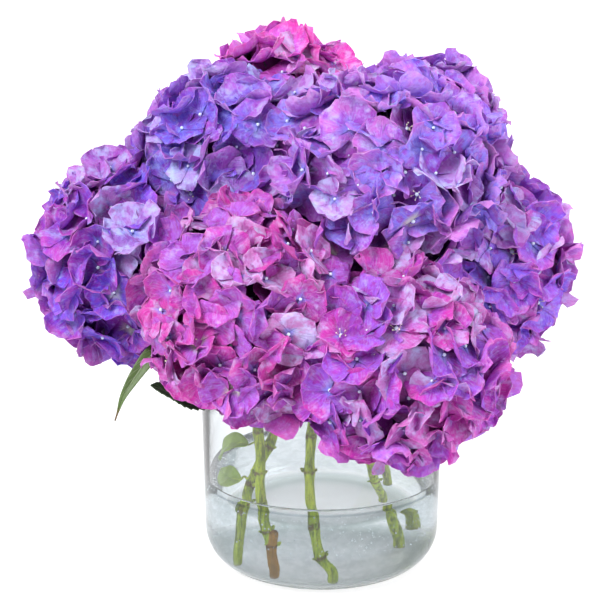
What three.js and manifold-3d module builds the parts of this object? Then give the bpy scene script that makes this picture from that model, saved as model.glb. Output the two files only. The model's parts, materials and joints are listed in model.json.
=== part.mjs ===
// Ten mophead hydrangeas on five forked stems, with leaves, in a clear glass cylinder part filled with water.
// Units are millimetres. The origin is the centre of the vase's base, +Z is up and the front is -Y.
import * as THREE from "three";
import { mergeVertices } from "three/addons/utils/BufferGeometryUtils.js";
import Module from "manifold-3d";

const wasm = await Module();
wasm.setup();

// Driving dimensions
const VASE_RADIUS = 85;
const VASE_HEIGHT = 140;
const VASE_WALL = 3.5;
const VASE_BASE = 6;
const VASE_OUTER_CORNER = 25;
const VASE_SIDES = 40;
const WATER_LEVEL = 66;
const CLEARANCE = 0.3;
const STEM_RADIUS = 3.6;
const BRANCH_RADIUS = 3.1;
const STEM_SIDES = 6;
const BOUQUET_FOCUS = new THREE.Vector3(0, 0, 130);
const CORE_SHARE = 0.6;
const RECEPTACLE_LENGTH = 7;
const FLORET_RISE = 5;
const HEAD_COVER = THREE.MathUtils.degToRad(124);
const HEAD_GAP = 0.5;
const PRESS_DEPTH = 9;
const SEAM_DEPTH = 7;
const SEAM_REACH = 17;
const LEAF_THICKNESS = 0.9;

const v = (x, y, z) => new THREE.Vector3(x, y, z);

// Flower heads: centre, radius across and upright, number of florets, how square the outline is (2 is round),
// room kept over the vase's rim, colour and seed
const HEADS = [
  {
    name: "head_orchid", centre: v(-54, -98, 216), across: 71, upright: 80,
    florets: 28, square: 2.2, rimMargin: 11.5, colour: "#c568bd", seed: 11,
  },
  {
    name: "head_magenta", centre: v(53, -112, 182), across: 77, upright: 74,
    florets: 28, square: 2.2, rimMargin: 3, colour: "#a95cb9", seed: 12,
  },
  {
    name: "head_lavender", centre: v(41, -28, 299), across: 88, upright: 75,
    florets: 32, square: 2.1, rimMargin: 3, colour: "#a27bd8", seed: 13,
  },
  {
    name: "head_periwinkle", centre: v(-73, 5, 308), across: 64, upright: 64,
    florets: 23, square: 2.1, rimMargin: 3, colour: "#8f72d0", seed: 14,
  },
  {
    name: "head_violet", centre: v(-145, -15, 234), across: 67, upright: 83,
    florets: 29, square: 2.1, rimMargin: 3, colour: "#975fc0", seed: 15,
  },
  {
    name: "head_hot_pink", centre: v(-28, 68, 331), across: 63, upright: 62,
    florets: 22, square: 2.1, rimMargin: 3, colour: "#c86bc0", seed: 16,
  },
  {
    name: "head_lilac", centre: v(128, 0, 221), across: 59, upright: 72,
    florets: 24, square: 2.1, rimMargin: 3, colour: "#a36fcb", seed: 17,
  },
  {
    name: "head_purple", centre: v(84, 85, 307), across: 66, upright: 66,
    florets: 24, square: 2.1, rimMargin: 3, colour: "#9a66c6", seed: 18,
  },
  {
    name: "head_back_blue", centre: v(-85, 88, 232), across: 72, upright: 72,
    florets: 25, square: 2.1, rimMargin: 3, colour: "#8476cf", seed: 19,
  },
  {
    name: "head_back_mauve", centre: v(55, 95, 215), across: 76, upright: 76,
    florets: 26, square: 2.1, rimMargin: 3, colour: "#b070c4", seed: 20,
  },
];

// Closed solids from geometry and back

function solidOf(geometry) {
  const bare = geometry.clone();
  bare.deleteAttribute("normal");
  bare.deleteAttribute("uv");
  const merged = mergeVertices(bare, 1e-4);
  return new wasm.Manifold(new wasm.Mesh({
    numProp: 3,
    vertProperties: new Float32Array(merged.attributes.position.array),
    triVerts: new Uint32Array(merged.index.array),
  }));
}

function geometryOf(solid) {
  const mesh = solid.getMesh();
  const geometry = new THREE.BufferGeometry();
  geometry.setAttribute("position", new THREE.BufferAttribute(new Float32Array(mesh.vertProperties), 3));
  geometry.setIndex(new THREE.BufferAttribute(new Uint32Array(mesh.triVerts), 1));
  geometry.computeVertexNormals();
  return geometry;
}

function geometryFrom(points, faces) {
  const geometry = new THREE.BufferGeometry();
  geometry.setAttribute("position", new THREE.Float32BufferAttribute(points.flatMap((p) => [p.x, p.y, p.z]), 3));
  geometry.setIndex(faces);
  return geometry;
}

function seededRandom(seed) {
  let state = seed * 7919 + 17;
  return () => {
    state = (state * 1664525 + 1013904223) % 4294967296;
    return state / 4294967296;
  };
}

// Lathe profiles are radius and height, turned from the Y axis to Z

function turned(profile) {
  const geometry = new THREE.LatheGeometry(profile, VASE_SIDES);
  geometry.rotateX(Math.PI / 2);
  return geometry;
}

function arc(centreR, centreZ, radius, from, to, steps) {
  const points = [];
  for (let i = 0; i <= steps; i += 1) {
    const angle = THREE.MathUtils.degToRad(from + ((to - from) * i) / steps);
    points.push(new THREE.Vector2(centreR + radius * Math.cos(angle), centreZ + radius * Math.sin(angle)));
  }
  return points;
}

// Vase: straight wall, rounded rim, thick base and a rounded bottom corner

const CORNER_CENTRE = VASE_RADIUS - VASE_OUTER_CORNER;
const INNER_RADIUS = VASE_RADIUS - VASE_WALL;
const INNER_CORNER = INNER_RADIUS - CORNER_CENTRE;
const INNER_CORNER_Z = VASE_BASE + INNER_CORNER;

function vaseGeometry() {
  const lip = VASE_WALL / 2;
  return turned([
    new THREE.Vector2(0, 0),
    ...arc(CORNER_CENTRE, VASE_OUTER_CORNER, VASE_OUTER_CORNER, -90, 0, 5),
    ...arc(VASE_RADIUS - lip, VASE_HEIGHT - lip, lip, 0, 180, 4),
    ...arc(CORNER_CENTRE, INNER_CORNER_Z, INNER_CORNER, 0, -90, 5),
    new THREE.Vector2(0, VASE_BASE),
  ]);
}

// Height of the glass inside the vase at a distance from its axis
function glassFloor(radius) {
  const out = Math.max(radius - CORNER_CENTRE, 0);
  return INNER_CORNER_Z - Math.sqrt(Math.max(INNER_CORNER ** 2 - out ** 2, 0));
}

// Flower head frames: the axis points out of the bouquet, and the stem meets the head's receptacle

for (const head of HEADS) {
  head.axis = head.centre.clone().sub(BOUQUET_FOCUS).normalize();
  head.mean = (head.across + head.upright) / 2;
  head.core = head.mean * CORE_SHARE;
  head.joint = head.centre.clone().addScaledVector(head.axis, -(head.core + RECEPTACLE_LENGTH));
}

const headNamed = (name) => HEADS.find((head) => head.name === name);

// Stems: a tube through points, with the last point on a head's receptacle

function pathTo(points, headName) {
  if (!headName) {
    return new THREE.CatmullRomCurve3(points);
  }
  const head = headNamed(headName);
  const before = head.joint.clone().addScaledVector(head.axis, -12);
  const end = head.joint.clone().addScaledVector(head.axis, -CLEARANCE);
  return new THREE.CatmullRomCurve3([...points, before, end]);
}

function tube(path, radius, steps, sides = STEM_SIDES) {
  const outline = new THREE.Shape();
  for (let i = 0; i < sides; i += 1) {
    const angle = (2 * Math.PI * i) / sides;
    outline[i === 0 ? "moveTo" : "lineTo"](radius * Math.cos(angle), radius * Math.sin(angle));
  }
  return new THREE.ExtrudeGeometry(outline, { steps, bevelEnabled: false, extrudePath: path });
}

// The first two points of a stem that stands upright on the glass inside the vase
function footAt(x, y, radius) {
  const height = glassFloor(Math.hypot(x, y) + radius) + 2 * CLEARANCE;
  return [v(x, y, height), v(x, y, height + 6)];
}

const FORKS = {
  lavender: v(5, -12, 185),
  violet: v(-52, -40, 138),
  front: v(-7, -50, 138),
  upper: v(-10, 12, 170),
  right: v(30, 40, 130),
};

const STEMS = [
  {
    name: "stem_left",
    colour: "#8fa24d",
    tubes: [
      {
        to: "head_lavender", radius: STEM_RADIUS, steps: 15,
        points: [
          ...footAt(-52, -39, STEM_RADIUS), v(-53, -40, 28), v(-53, -40, 50), v(-54, -38.5, 65),
          v(-45.5, -36, 83), v(-38, -33, 98), v(-30.5, -28, 117), v(-18, -20, 143),
          v(-6, -14.5, 165), FORKS.lavender,
        ],
      },
      {
        to: "head_purple", radius: BRANCH_RADIUS, steps: 7,
        points: [
          FORKS.lavender, v(10, 15, 215), v(18, 42, 243), v(38, 60, 258),
        ],
      },
    ],
  },
  {
    name: "stem_woody",
    colour: "#8d9a4e",
    tubes: [
      {
        to: "head_violet", radius: STEM_RADIUS, steps: 13,
        points: [
          v(-35, -60, 33), v(-39, -58.5, 47), v(-43, -57, 62), v(-44.5, -56, 82), v(-44, -54, 96),
          v(-46, -49, 115), FORKS.violet, v(-62, -22, 155), v(-80, -12, 175),
        ],
      },
      {
        to: "head_back_blue", radius: BRANCH_RADIUS, steps: 6,
        points: [
          FORKS.violet, v(-56, -5, 158), v(-58, 28, 175),
        ],
      },
      {
        to: null, radius: 4.6, steps: 4,
        points: [
          ...footAt(-33, -61, 4.6), v(-33.5, -60.5, 18), v(-35, -60, 33), v(-33.5, -60, 45),
        ],
      },
    ],
  },
  {
    name: "stem_front",
    colour: "#8aa24c",
    tubes: [
      {
        to: "head_orchid", radius: STEM_RADIUS, steps: 13,
        points: [
          ...footAt(7, -65, STEM_RADIUS), v(-1, -65, 26), v(-6, -65, 50), v(-8.5, -63, 66),
          v(-9.2, -61, 90), v(-8, -57, 114), FORKS.front, v(-18, -46, 158),
        ],
      },
      {
        to: "head_magenta", radius: BRANCH_RADIUS, steps: 5,
        points: [
          FORKS.front, v(6, -48, 149),
        ],
      },
    ],
  },
  {
    name: "stem_right",
    colour: "#86a04a",
    tubes: [
      {
        to: "head_periwinkle", radius: STEM_RADIUS, steps: 14,
        points: [
          ...footAt(41, 24, STEM_RADIUS), v(37.5, 15, 32), v(35, 9, 46), v(33.5, -2, 74),
          v(24, 0, 95), v(13, 5, 116), v(1, 10, 143), FORKS.upper, v(-25, 13, 205),
          v(-43, 12, 240),
        ],
      },
      {
        to: "head_hot_pink", radius: BRANCH_RADIUS, steps: 7,
        points: [
          FORKS.upper, v(-13, 20, 205), v(-16, 36, 245),
        ],
      },
    ],
  },
  {
    name: "stem_back",
    colour: "#7f9848",
    tubes: [
      {
        to: "head_lilac", radius: STEM_RADIUS, steps: 13,
        points: [
          ...footAt(44, 50, STEM_RADIUS), v(41, 47, 40), v(37, 44, 66), v(31, 41, 100),
          FORKS.right, v(44, 30, 155), v(68, 14, 174),
        ],
      },
      {
        to: "head_back_mauve", radius: BRANCH_RADIUS, steps: 4,
        points: [
          FORKS.right, v(29, 45, 155),
        ],
      },
    ],
  },
];

for (const stem of STEMS) {
  for (const item of stem.tubes) {
    item.path = pathTo(item.points, item.to);
  }
}

function stemGeometry(stem) {
  const solids = stem.tubes.map((item) => solidOf(tube(item.path, item.radius, item.steps)));
  return geometryOf(solids.reduce((whole, solid) => whole.add(solid)));
}

// Water: fills the vase to its level, with a plain hole round every stem

function waterGeometry() {
  const radius = INNER_CORNER - CLEARANCE;
  const body = turned([
    new THREE.Vector2(0, VASE_BASE + CLEARANCE),
    ...arc(CORNER_CENTRE, INNER_CORNER_Z, radius, -90, 0, 5),
    new THREE.Vector2(INNER_RADIUS - CLEARANCE, WATER_LEVEL),
    new THREE.Vector2(0, WATER_LEVEL),
  ]);
  let water = solidOf(body);
  for (const stem of STEMS) {
    for (const item of stem.tubes) {
      if (item.points[0].z > WATER_LEVEL) {
        continue;
      }
      const wide = item.radius + 0.4;
      water = water.subtract(solidOf(tube(item.path, wide, item.steps)));
      if (item.points[0].z < 20) {
        water = water.subtract(solidOf(holeEnd(item, wide, 0, -8)));
      }
      if (!item.to) {
        water = water.subtract(solidOf(holeEnd(item, wide, 1, 0.4)));
      }
    }
  }
  return geometryOf(water);
}

// The part of a stem's hole past one of its ends
function holeEnd(item, wide, share, length) {
  const end = item.path.getPoint(share);
  const along = item.path.getTangent(share);
  const near = end.clone().addScaledVector(along, -Math.sign(length) * 0.8);
  return tube(new THREE.LineCurve3(near, end.clone().addScaledVector(along, length)), wide, 1);
}

// Floret: four broad sepals round a hollow throat, on a short stalk sunk in the head's core.
// Twelve rim points are a notch and two shoulders for each sepal.

const RIM = 12;

function floretRim(centre, frame, size, random) {
  const spin = random() * Math.PI * 2;
  const rim = [];
  for (let i = 0; i < RIM; i += 1) {
    const part = i % 3;
    const sepal = Math.floor(i / 3);
    const angle = spin + (sepal * Math.PI) / 2 + [0, 0.45, 1.12][part] + (random() - 0.5) * 0.1;
    const reach = size * (part === 0 ? 0.7 : 0.94 + random() * 0.12);
    const rise = part === 0 ? -1.6 : 0.2 + random() * 2.6;
    rim.push(centre.clone()
      .addScaledVector(frame.side, reach * Math.cos(angle))
      .addScaledVector(frame.up, reach * Math.sin(angle))
      .addScaledVector(frame.out, rise));
  }
  return rim;
}

function frameAbout(out, random) {
  const helper = Math.abs(out.z) > 0.9 ? v(1, 0, 0) : v(0, 0, 1);
  const side = new THREE.Vector3().crossVectors(helper, out).normalize();
  const tilt = v(random() - 0.5, random() - 0.5, random() - 0.5).multiplyScalar(0.32);
  const leaned = out.clone().add(tilt).normalize();
  side.addScaledVector(leaned, -side.dot(leaned)).normalize();
  return { out: leaned, side, up: new THREE.Vector3().crossVectors(leaned, side) };
}

function ring(centre, frame, radius) {
  return [0, 1, 2].map((k) => centre.clone()
    .addScaledVector(frame.side, radius * Math.cos((k * 2 * Math.PI) / 3))
    .addScaledVector(frame.up, radius * Math.sin((k * 2 * Math.PI) / 3)));
}

// Keeps a point on this floret's side of the midplane to each neighbour, so that no two blades cross
function keepInCell(point, centre, others) {
  for (const other of others) {
    const away = other.clone().sub(centre);
    const span = away.length();
    away.divideScalar(span);
    const beyond = point.clone().sub(centre).dot(away) - (span / 2 - 0.35);
    if (beyond > 0) {
      point.addScaledVector(away, -beyond);
    }
  }
}

function floretGeometry(head, place, others, size, random) {
  const frame = frameAbout(place.out, random);
  const centre = place.point.clone().addScaledVector(place.out, -3);
  const rim = floretRim(place.point, frame, size, random);
  rim.forEach((point) => keepInCell(point, place.point, others));
  const throat = place.point.clone().addScaledVector(place.out, -8.5);
  const foot = place.point.clone().sub(head.centre).multiplyScalar(CORE_SHARE * 0.9).add(head.centre);
  const points = [centre, ...rim, ...ring(throat, frame, 2.6), ...ring(foot, frame, 2)];
  points.forEach((point) => pressBack(point, head));
  return geometryFrom(points, floretFaces(rim.length));
}

// Top fan, underside from rim to throat ring, stalk and foot
function floretFaces(count) {
  const faces = [];
  const throat = 1 + count;
  const foot = throat + 3;
  const nearest = (i) => Math.floor((i * 3) / count + 0.5) % 3;
  for (let i = 0; i < count; i += 1) {
    const here = 1 + i;
    const next = 1 + ((i + 1) % count);
    const a = nearest(i);
    const b = nearest(i + 1);
    faces.push(0, here, next);
    faces.push(here, throat + a, next);
    if (a !== b) {
      faces.push(next, throat + a, throat + b);
    }
  }
  for (let k = 0; k < 3; k += 1) {
    const m = (k + 1) % 3;
    faces.push(throat + k, foot + k, throat + m, throat + m, foot + k, foot + m);
  }
  faces.push(foot, foot + 2, foot + 1);
  return faces;
}

// Walls between a head and what it is pressed against: its neighbours, and the vase's rim

function wallsOf(head) {
  const walls = [];
  for (const other of HEADS) {
    const away = other.centre.clone().sub(head.centre);
    const span = away.length();
    if (other === head || span > head.mean + other.mean + 8) {
      continue;
    }
    const limit = (span ** 2 + head.mean ** 2 - other.mean ** 2) / (2 * span);
    walls.push({ normal: away.divideScalar(span), limit: limit - HEAD_GAP / 2 });
  }
  const flat = v(head.centre.x, head.centre.y, 0).setLength(VASE_RADIUS).setZ(VASE_HEIGHT);
  const toRim = flat.sub(head.centre);
  const reach = toRim.length();
  if (reach < head.mean + head.rimMargin + 6) {
    walls.push({ normal: toRim.divideScalar(reach), limit: reach - head.rimMargin });
  }
  return walls;
}

for (const head of HEADS) {
  head.walls = wallsOf(head);
}

// Beyond the last few millimetres before a wall, a point is pressed back so that it never reaches it
function pressBack(point, head) {
  for (const wall of head.walls) {
    const along = point.clone().sub(head.centre).dot(wall.normal);
    const free = wall.limit - PRESS_DEPTH;
    if (along > free) {
      const pressed = wall.limit - PRESS_DEPTH * Math.exp(-(along - free) / PRESS_DEPTH);
      point.addScaledVector(wall.normal, pressed - along);
    }
  }
}

// Moves a floret's place off a wall, and tells how far it was past it
function slideFrom(wall, point, head) {
  const past = point.clone().sub(head.centre).dot(wall.normal) - (wall.limit - SEAM_DEPTH);
  if (past > 0) {
    point.addScaledVector(wall.normal, -past);
  }
  return past;
}

// Floret places: an even spiral over the head's cap, from its crown to below its widest line

function floretPlaces(head) {
  const random = seededRandom(head.seed);
  const turn = new THREE.Quaternion().setFromUnitVectors(v(0, 0, 1), head.axis);
  const lowest = Math.cos(HEAD_COVER);
  const spread = head.across - FLORET_RISE;
  const height = head.upright - FLORET_RISE;
  const places = [];
  for (let i = 0; i < head.florets; i += 1) {
    const rise = 1 - ((i + 0.5) / head.florets) * (1 - lowest);
    const round = i * 2.39996 + head.seed + (random() - 0.5) * 0.25;
    const flat = Math.sqrt(1 - rise ** 2);
    const away = v(flat * Math.cos(round), flat * Math.sin(round), rise).applyQuaternion(turn);
    const bulge = away.toArray().reduce((sum, part) => sum + Math.abs(part) ** head.square, 0);
    away.multiplyScalar(bulge ** (-1 / head.square));
    const point = v(away.x * spread, away.y * spread, away.z * height).add(head.centre);
    const out = v(away.x / spread, away.y / spread, away.z / height).normalize();
    const buried = Math.max(...head.walls.map((wall) => slideFrom(wall, point, head)), 0);
    places.push({ point, out, buried });
  }
  return places;
}

const STEM_SAMPLES = STEMS.flatMap((stem) => stem.tubes.flatMap((item) => item.path.getSpacedPoints(40)));

// A floret deep in the seam between two heads, or where a stem passes, is left out
function isHidden(place, size) {
  return place.buried > SEAM_REACH
    || STEM_SAMPLES.some((sample) => sample.distanceTo(place.point) < size * 0.55 + 8);
}

function headGeometry(head) {
  const random = seededRandom(head.seed + 100);
  const all = floretPlaces(head);
  const cap = 2 * Math.PI * (1 - Math.cos(HEAD_COVER)) * (head.mean - FLORET_RISE) ** 2;
  const size = 0.66 * Math.sqrt((cap / head.florets) * (2 / Math.sqrt(3)));
  const places = all.filter((place) => !isHidden(place, size));
  let solid = solidOf(coreGeometry(head)).add(solidOf(receptacleGeometry(head)));
  for (const place of places) {
    const others = places.filter((other) => other !== place && other.point.distanceTo(place.point) < 2.4 * size);
    const floret = floretGeometry(head, place, others.map((other) => other.point), size, random);
    solid = solid.add(solidOf(floret));
  }
  return geometryOf(solid);
}

function coreGeometry(head) {
  const geometry = new THREE.IcosahedronGeometry(1, 1);
  const place = geometry.attributes.position;
  for (let i = 0; i < place.count; i += 1) {
    const point = v(place.getX(i), place.getY(i), place.getZ(i)).normalize();
    point.multiply(v(head.across, head.across, head.upright).multiplyScalar(CORE_SHARE)).add(head.centre);
    pressBack(point, head);
    place.setXYZ(i, point.x, point.y, point.z);
  }
  return geometry;
}

// The receptacle: the short thick end of the flower stalk, fused to the core, that meets the stem
function receptacleGeometry(head) {
  const inside = head.centre.clone().addScaledVector(head.axis, -(head.core - 9));
  return tube(new THREE.LineCurve3(head.joint, inside), 5, 1);
}

// Leaf: a thin arched blade with a creased midrib and a toothed edge, on a stalk that ends at a stem.
// Each station has a left edge, midrib and right edge, with the same triangles on both faces.

function leafSheet(leaf, offset) {
  const rows = [];
  for (let i = 0; i <= leaf.stations; i += 1) {
    const t = i / leaf.stations;
    const point = leaf.rib.getPoint(t);
    const along = leaf.rib.getTangent(t);
    const roll = THREE.MathUtils.lerp(leaf.roll[0], leaf.roll[1], t);
    const level = new THREE.Vector3().crossVectors(along, v(0, 0, 1)).normalize();
    const side = level.applyAxisAngle(along, THREE.MathUtils.degToRad(roll));
    const out = new THREE.Vector3().crossVectors(side, along).normalize();
    const tooth = i % 2 === 0 ? 1.1 : 0.86;
    const half = Math.max(leaf.width * 0.5 * Math.sin(Math.PI * Math.min(0.06 + 0.94 * t, 1) ** 0.8) * tooth, 0.8);
    const centre = point.clone().addScaledVector(out, offset);
    rows.push([-1, 0, 1].map((way) => centre.clone()
      .addScaledVector(side, way * half)
      .addScaledVector(out, way === 0 ? 0 : half * leaf.fold)));
  }
  return rows;
}

function bladeGeometry(leaf) {
  const upper = leafSheet(leaf, LEAF_THICKNESS / 2);
  const lower = leafSheet(leaf, -LEAF_THICKNESS / 2);
  const points = [...upper.flat(), ...lower.flat()];
  const below = upper.flat().length;
  const faces = [];
  const quad = (a, b, c, d) => faces.push(a, b, c, a, c, d);
  for (let i = 0; i < leaf.stations; i += 1) {
    const a = 3 * i;
    const b = a + 3;
    quad(a, a + 1, b + 1, b);
    quad(a + 1, a + 2, b + 2, b + 1);
    faces.push(below + a, below + b + 1, below + a + 1, below + a, below + b, below + b + 1);
    faces.push(below + a + 1, below + b + 2, below + a + 2, below + a + 1, below + b + 1, below + b + 2);
    quad(a, b, below + b, below + a);
    quad(a + 2, below + a + 2, below + b + 2, b + 2);
  }
  const end = 3 * leaf.stations;
  quad(1, 0, below, below + 1);
  quad(2, 1, below + 1, below + 2);
  quad(end, end + 1, below + end + 1, below + end);
  quad(end + 1, end + 2, below + end + 2, below + end + 1);
  return geometryFrom(points, faces);
}

// Where a stem's tube passes a height
function pointOnStem(stemName, tubeIndex, height) {
  const item = STEMS.find((stem) => stem.name === stemName).tubes[tubeIndex];
  let share = 0;
  while (share < 1 && item.path.getPoint(share).z < height) {
    share += 0.002;
  }
  return { point: item.path.getPoint(share), along: item.path.getTangent(share), radius: item.radius };
}

// The stalk leaves its stem square to it, one clearance away from its surface
function stalkPath(leaf) {
  const root = pointOnStem(...leaf.from);
  const away = leaf.points[0].clone().sub(root.point);
  away.addScaledVector(root.along, -away.dot(root.along)).normalize();
  const start = root.point.clone().addScaledVector(away, root.radius + 1.6 * CLEARANCE - (leaf.closer ?? 0));
  const bend = root.point.clone().addScaledVector(away, root.radius + 5);
  return new THREE.CatmullRomCurve3([start, bend, leaf.points[0], leaf.rib.getPoint(0.12)]);
}

// from is the stem, its tube and the height where the stalk leaves it
const LEAVES = [
  {
    name: "leaf_sage", colour: "#97a58a", width: 13, stations: 8, fold: 0.25, roll: [10, 50],
    from: ["stem_woody", 0, 172],
    points: [v(-100, -40, 165), v(-120, -62, 161), v(-139, -74, 147), v(-148, -73, 126)],
  },
  {
    name: "leaf_dark", colour: "#54603c", width: 40, stations: 10, fold: 0.12, roll: [-10, -48],
    from: ["stem_front", 0, 152],
    points: [v(-42, -62, 146), v(-66, -75, 143), v(-94, -84, 140), v(-122, -84, 146)],
  },
  {
    name: "leaf_pale", colour: "#a9bd86", width: 13, stations: 8, fold: 0.2, roll: [0, 20],
    from: ["stem_left", 0, 96],
    points: [v(-54, -28, 96), v(-63, -22, 96), v(-71, -16, 90), v(-76, -10, 78)],
  },
  {
    name: "leaf_low", colour: "#9db37a", width: 11, stations: 8, fold: 0.2, roll: [0, 10],
    from: ["stem_left", 0, 71], closer: 0.8,
    points: [v(-59, -31, 71), v(-65, -26, 70), v(-71, -19, 70), v(-75, -12, 72)],
  },
  {
    name: "leaf_back_right", colour: "#5b6e42", width: 46, stations: 10, fold: 0.16, roll: [0, 25],
    from: ["stem_back", 0, 150],
    points: [v(66, 30, 146), v(88, 38, 137), v(112, 46, 128), v(134, 52, 117)],
  },
  {
    name: "leaf_back_left", colour: "#5f7346", width: 46, stations: 10, fold: 0.16, roll: [0, 25],
    from: ["stem_woody", 1, 162],
    points: [v(-76, 38, 158), v(-98, 52, 154), v(-120, 64, 148), v(-142, 72, 138)],
  },
];

function leafGeometry(leaf) {
  leaf.rib = new THREE.CatmullRomCurve3(leaf.points);
  const stalk = solidOf(tube(stalkPath(leaf), 1.5, 4, 4));
  return geometryOf(solidOf(bladeGeometry(leaf)).add(stalk));
}

// Assembly

const group = new THREE.Group();

function place(name, geometry, settings) {
  const mesh = new THREE.Mesh(geometry, new THREE.MeshStandardMaterial({ metalness: 0, ...settings }));
  mesh.name = name;
  group.add(mesh);
}

place("vase", vaseGeometry(), { color: "#dfe6e6", roughness: 0.05 });
place("water", waterGeometry(), { color: "#cdd6da", roughness: 0.05 });
for (const stem of STEMS) {
  place(stem.name, stemGeometry(stem), { color: stem.colour, roughness: 0.55 });
}
for (const leaf of LEAVES) {
  place(leaf.name, leafGeometry(leaf), { color: leaf.colour, roughness: 0.6 });
}
for (const head of HEADS) {
  place(head.name, headGeometry(head), { color: head.colour, roughness: 0.62 });
}

export default group;
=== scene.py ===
"""Mophead hydrangeas in a clear glass vase: the looks, laid out as a Blender add-on and run as a script.

Lengths in the tables are millimetres and are turned to metres where meshes are made. The front is -Y.
"""
import json
import math

import bpy
import numpy as np
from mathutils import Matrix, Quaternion, Vector

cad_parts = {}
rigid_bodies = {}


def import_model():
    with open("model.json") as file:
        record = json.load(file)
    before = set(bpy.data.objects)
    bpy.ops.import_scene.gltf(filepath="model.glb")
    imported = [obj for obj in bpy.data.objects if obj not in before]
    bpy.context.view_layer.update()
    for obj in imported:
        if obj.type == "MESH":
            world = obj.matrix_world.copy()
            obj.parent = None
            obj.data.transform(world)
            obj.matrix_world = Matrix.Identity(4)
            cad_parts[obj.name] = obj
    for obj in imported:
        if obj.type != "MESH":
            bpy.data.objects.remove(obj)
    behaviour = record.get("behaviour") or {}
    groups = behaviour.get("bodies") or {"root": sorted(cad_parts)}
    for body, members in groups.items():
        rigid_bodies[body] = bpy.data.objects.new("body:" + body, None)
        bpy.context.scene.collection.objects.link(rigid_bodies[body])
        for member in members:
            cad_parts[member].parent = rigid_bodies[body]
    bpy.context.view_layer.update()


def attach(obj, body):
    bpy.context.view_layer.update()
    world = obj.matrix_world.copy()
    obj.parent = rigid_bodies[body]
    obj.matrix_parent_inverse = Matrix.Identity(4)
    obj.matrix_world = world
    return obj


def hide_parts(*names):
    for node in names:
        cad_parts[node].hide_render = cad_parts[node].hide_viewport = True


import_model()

bl_info = {
    "name": "Hydrangeas in a vase",
    "version": (1, 0, 0),
    "blender": (4, 5, 0),
    "location": "View3D > Sidebar > Hydrangeas",
    "description": "Florets, stems, leaves, glass and water for a vase of hydrangeas",
    "category": "Object",
}

MM = 0.001

# Bouquet layout in millimetres. Some heads, leaves and feet of stems lie up to 16 from those of the solids.
VASE_RADIUS = 85
VASE_HEIGHT = 140
BOUQUET_FOCUS = Vector((0, 0, 130))  # the heads face away from here
CORE_SHARE = 0.6  # radius of the core that carries the florets, to the radius of a head
RECEPTACLE_LENGTH = 7  # from a core to the joint with its stem
HEAD_COVER = math.radians(136)  # how far round a head the florets reach from its axis
HEAD_GAP = 0.5
HEAD_REACH = 8  # heads that are less than this apart press against each other
PRESS_DEPTH = 8  # within this of a wall, points are pressed
SEAM_OVERLAP = 8  # how far florets reach into a neighbouring head
SEAM_FILL = 17  # softness of the join between heads, for the florets
RIM_REACH = 6  # a head that is further than this from the vase's rim isn't pressed by it
RIM_DEPTH = 5  # florets are lifted this far off the rim
RIM_PRESS = 14  # florets that would stick further through the vase's rim are left out
FLORET_TRIES = 1500  # directions in which a head looks for a place
FLORET_DEPTH = 15
UNDERLAYER = 9  # how much deeper the florets sit that fill the gaps
UNDERLAYER_SPACING = 0.9
FLORET_SUNK = (-1, 6)  # how much deeper a floret may sit at random
FLORET_GROWN = (0.84, 1.1)
OPEN_SHARE = 0.04  # share of the florets with an open heart
SHADE_DEPTH = 13  # painted shade darkens sepals from here under the bouquet's surface
SHADE_SPAN = 17
CORE_DEPTH = 29
BRANCHES = 9
BRANCH_POINTS = 14
STEM_ROOM = 14  # room between florets and stems
LEAF_ROOM = 26  # room between florets and the lower edge of the dark leaf
SIGHT_ROOM = 19  # room beside the lines of sight to the tip half of that edge
SIGHT_STEPS = (18, 36, 54)
SIGHT_SLOPE = 0.27  # rise of those lines towards the front
GOLDEN_ANGLE = 2.39996

# Glass under the feet of stems, in millimetres
FLOOR_HEIGHT = 6
FLOOR_FLAT = 60
FLOOR_CORNER = 21.5

# Stations along stems, and their nodes and buds in millimetres
STEM_STATIONS = 140
STUMP_STATIONS = 40
NODE_SWELL = 0.5
NODE_LENGTH = 3.0
SCAR_LENGTH = 2.4
LARGE_BUD = 4.2
SMALL_BUD = 2.8

LEAF_THICKNESS = 0.7
TOOTH_DEPTH = 0.2
TOOTH_INSET = 0.08
TURNED_SIDES = 128

# Camera and lights in metres. Each light has a place, a size and a share of the key light's power.
CAMERA_PLACE = (-0.016, -1.5455, 0.6126)
CAMERA_AIM = (-0.016, 0, 0.1985)
CAMERA_FIELD = math.radians(15.44)
LIGHTS_AIM = (0, 0, 0.2)
LIGHTS = {
    "key": ((-1.5, -1.9, 2.5), 1.8, 1.0),
    "fill": ((2.2, -1.4, 1.3), 1.6, 0.3),
    "back": ((0.6, 2.2, 2.2), 1.6, 0.4),
}
GLASS_BOUNCES = 32


def head_shape(centre, across, upright, seed, square=2.1, rim=3):
    """A head's place and radii. Squareness 2 is an ellipsoid, and rim is its room over the vase's rim."""
    return dict(centre=centre, across=across, upright=upright, seed=seed, square=square, rim=rim)


# Flower heads: centre, radius across and upright, seed of their random draws
HEADS = {
    "orchid": head_shape((-54, -98, 216), 71, 80, 11, square=2.2, rim=11.5),
    "magenta": head_shape((51, -112, 183), 77, 74, 12, square=2.2),
    "lavender": head_shape((42, -28, 299), 88, 75, 13),
    "periwinkle": head_shape((-70, 5, 305), 64, 64, 14),
    "violet": head_shape((-142, -15, 233), 67, 78, 15),
    "hot_pink": head_shape((-29, 68, 330), 61, 61, 16),
    "lilac": head_shape((122, 2, 222), 60, 72, 17),
    "purple": head_shape((80, 85, 304), 64, 63, 18),
    "back_blue": head_shape((-85, 88, 232), 72, 72, 19),
    "back_mauve": head_shape((55, 95, 215), 76, 76, 20),
}

# Smaller florets set one by one: where, the way they face and their size
ADDED_FLORETS = {
    "orchid": [((-107, -92, 177), (-0.5, -0.85, -0.15), 0.68), ((-98, -100, 172), (-0.3, -0.9, -0.3), 0.62)],
}

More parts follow.
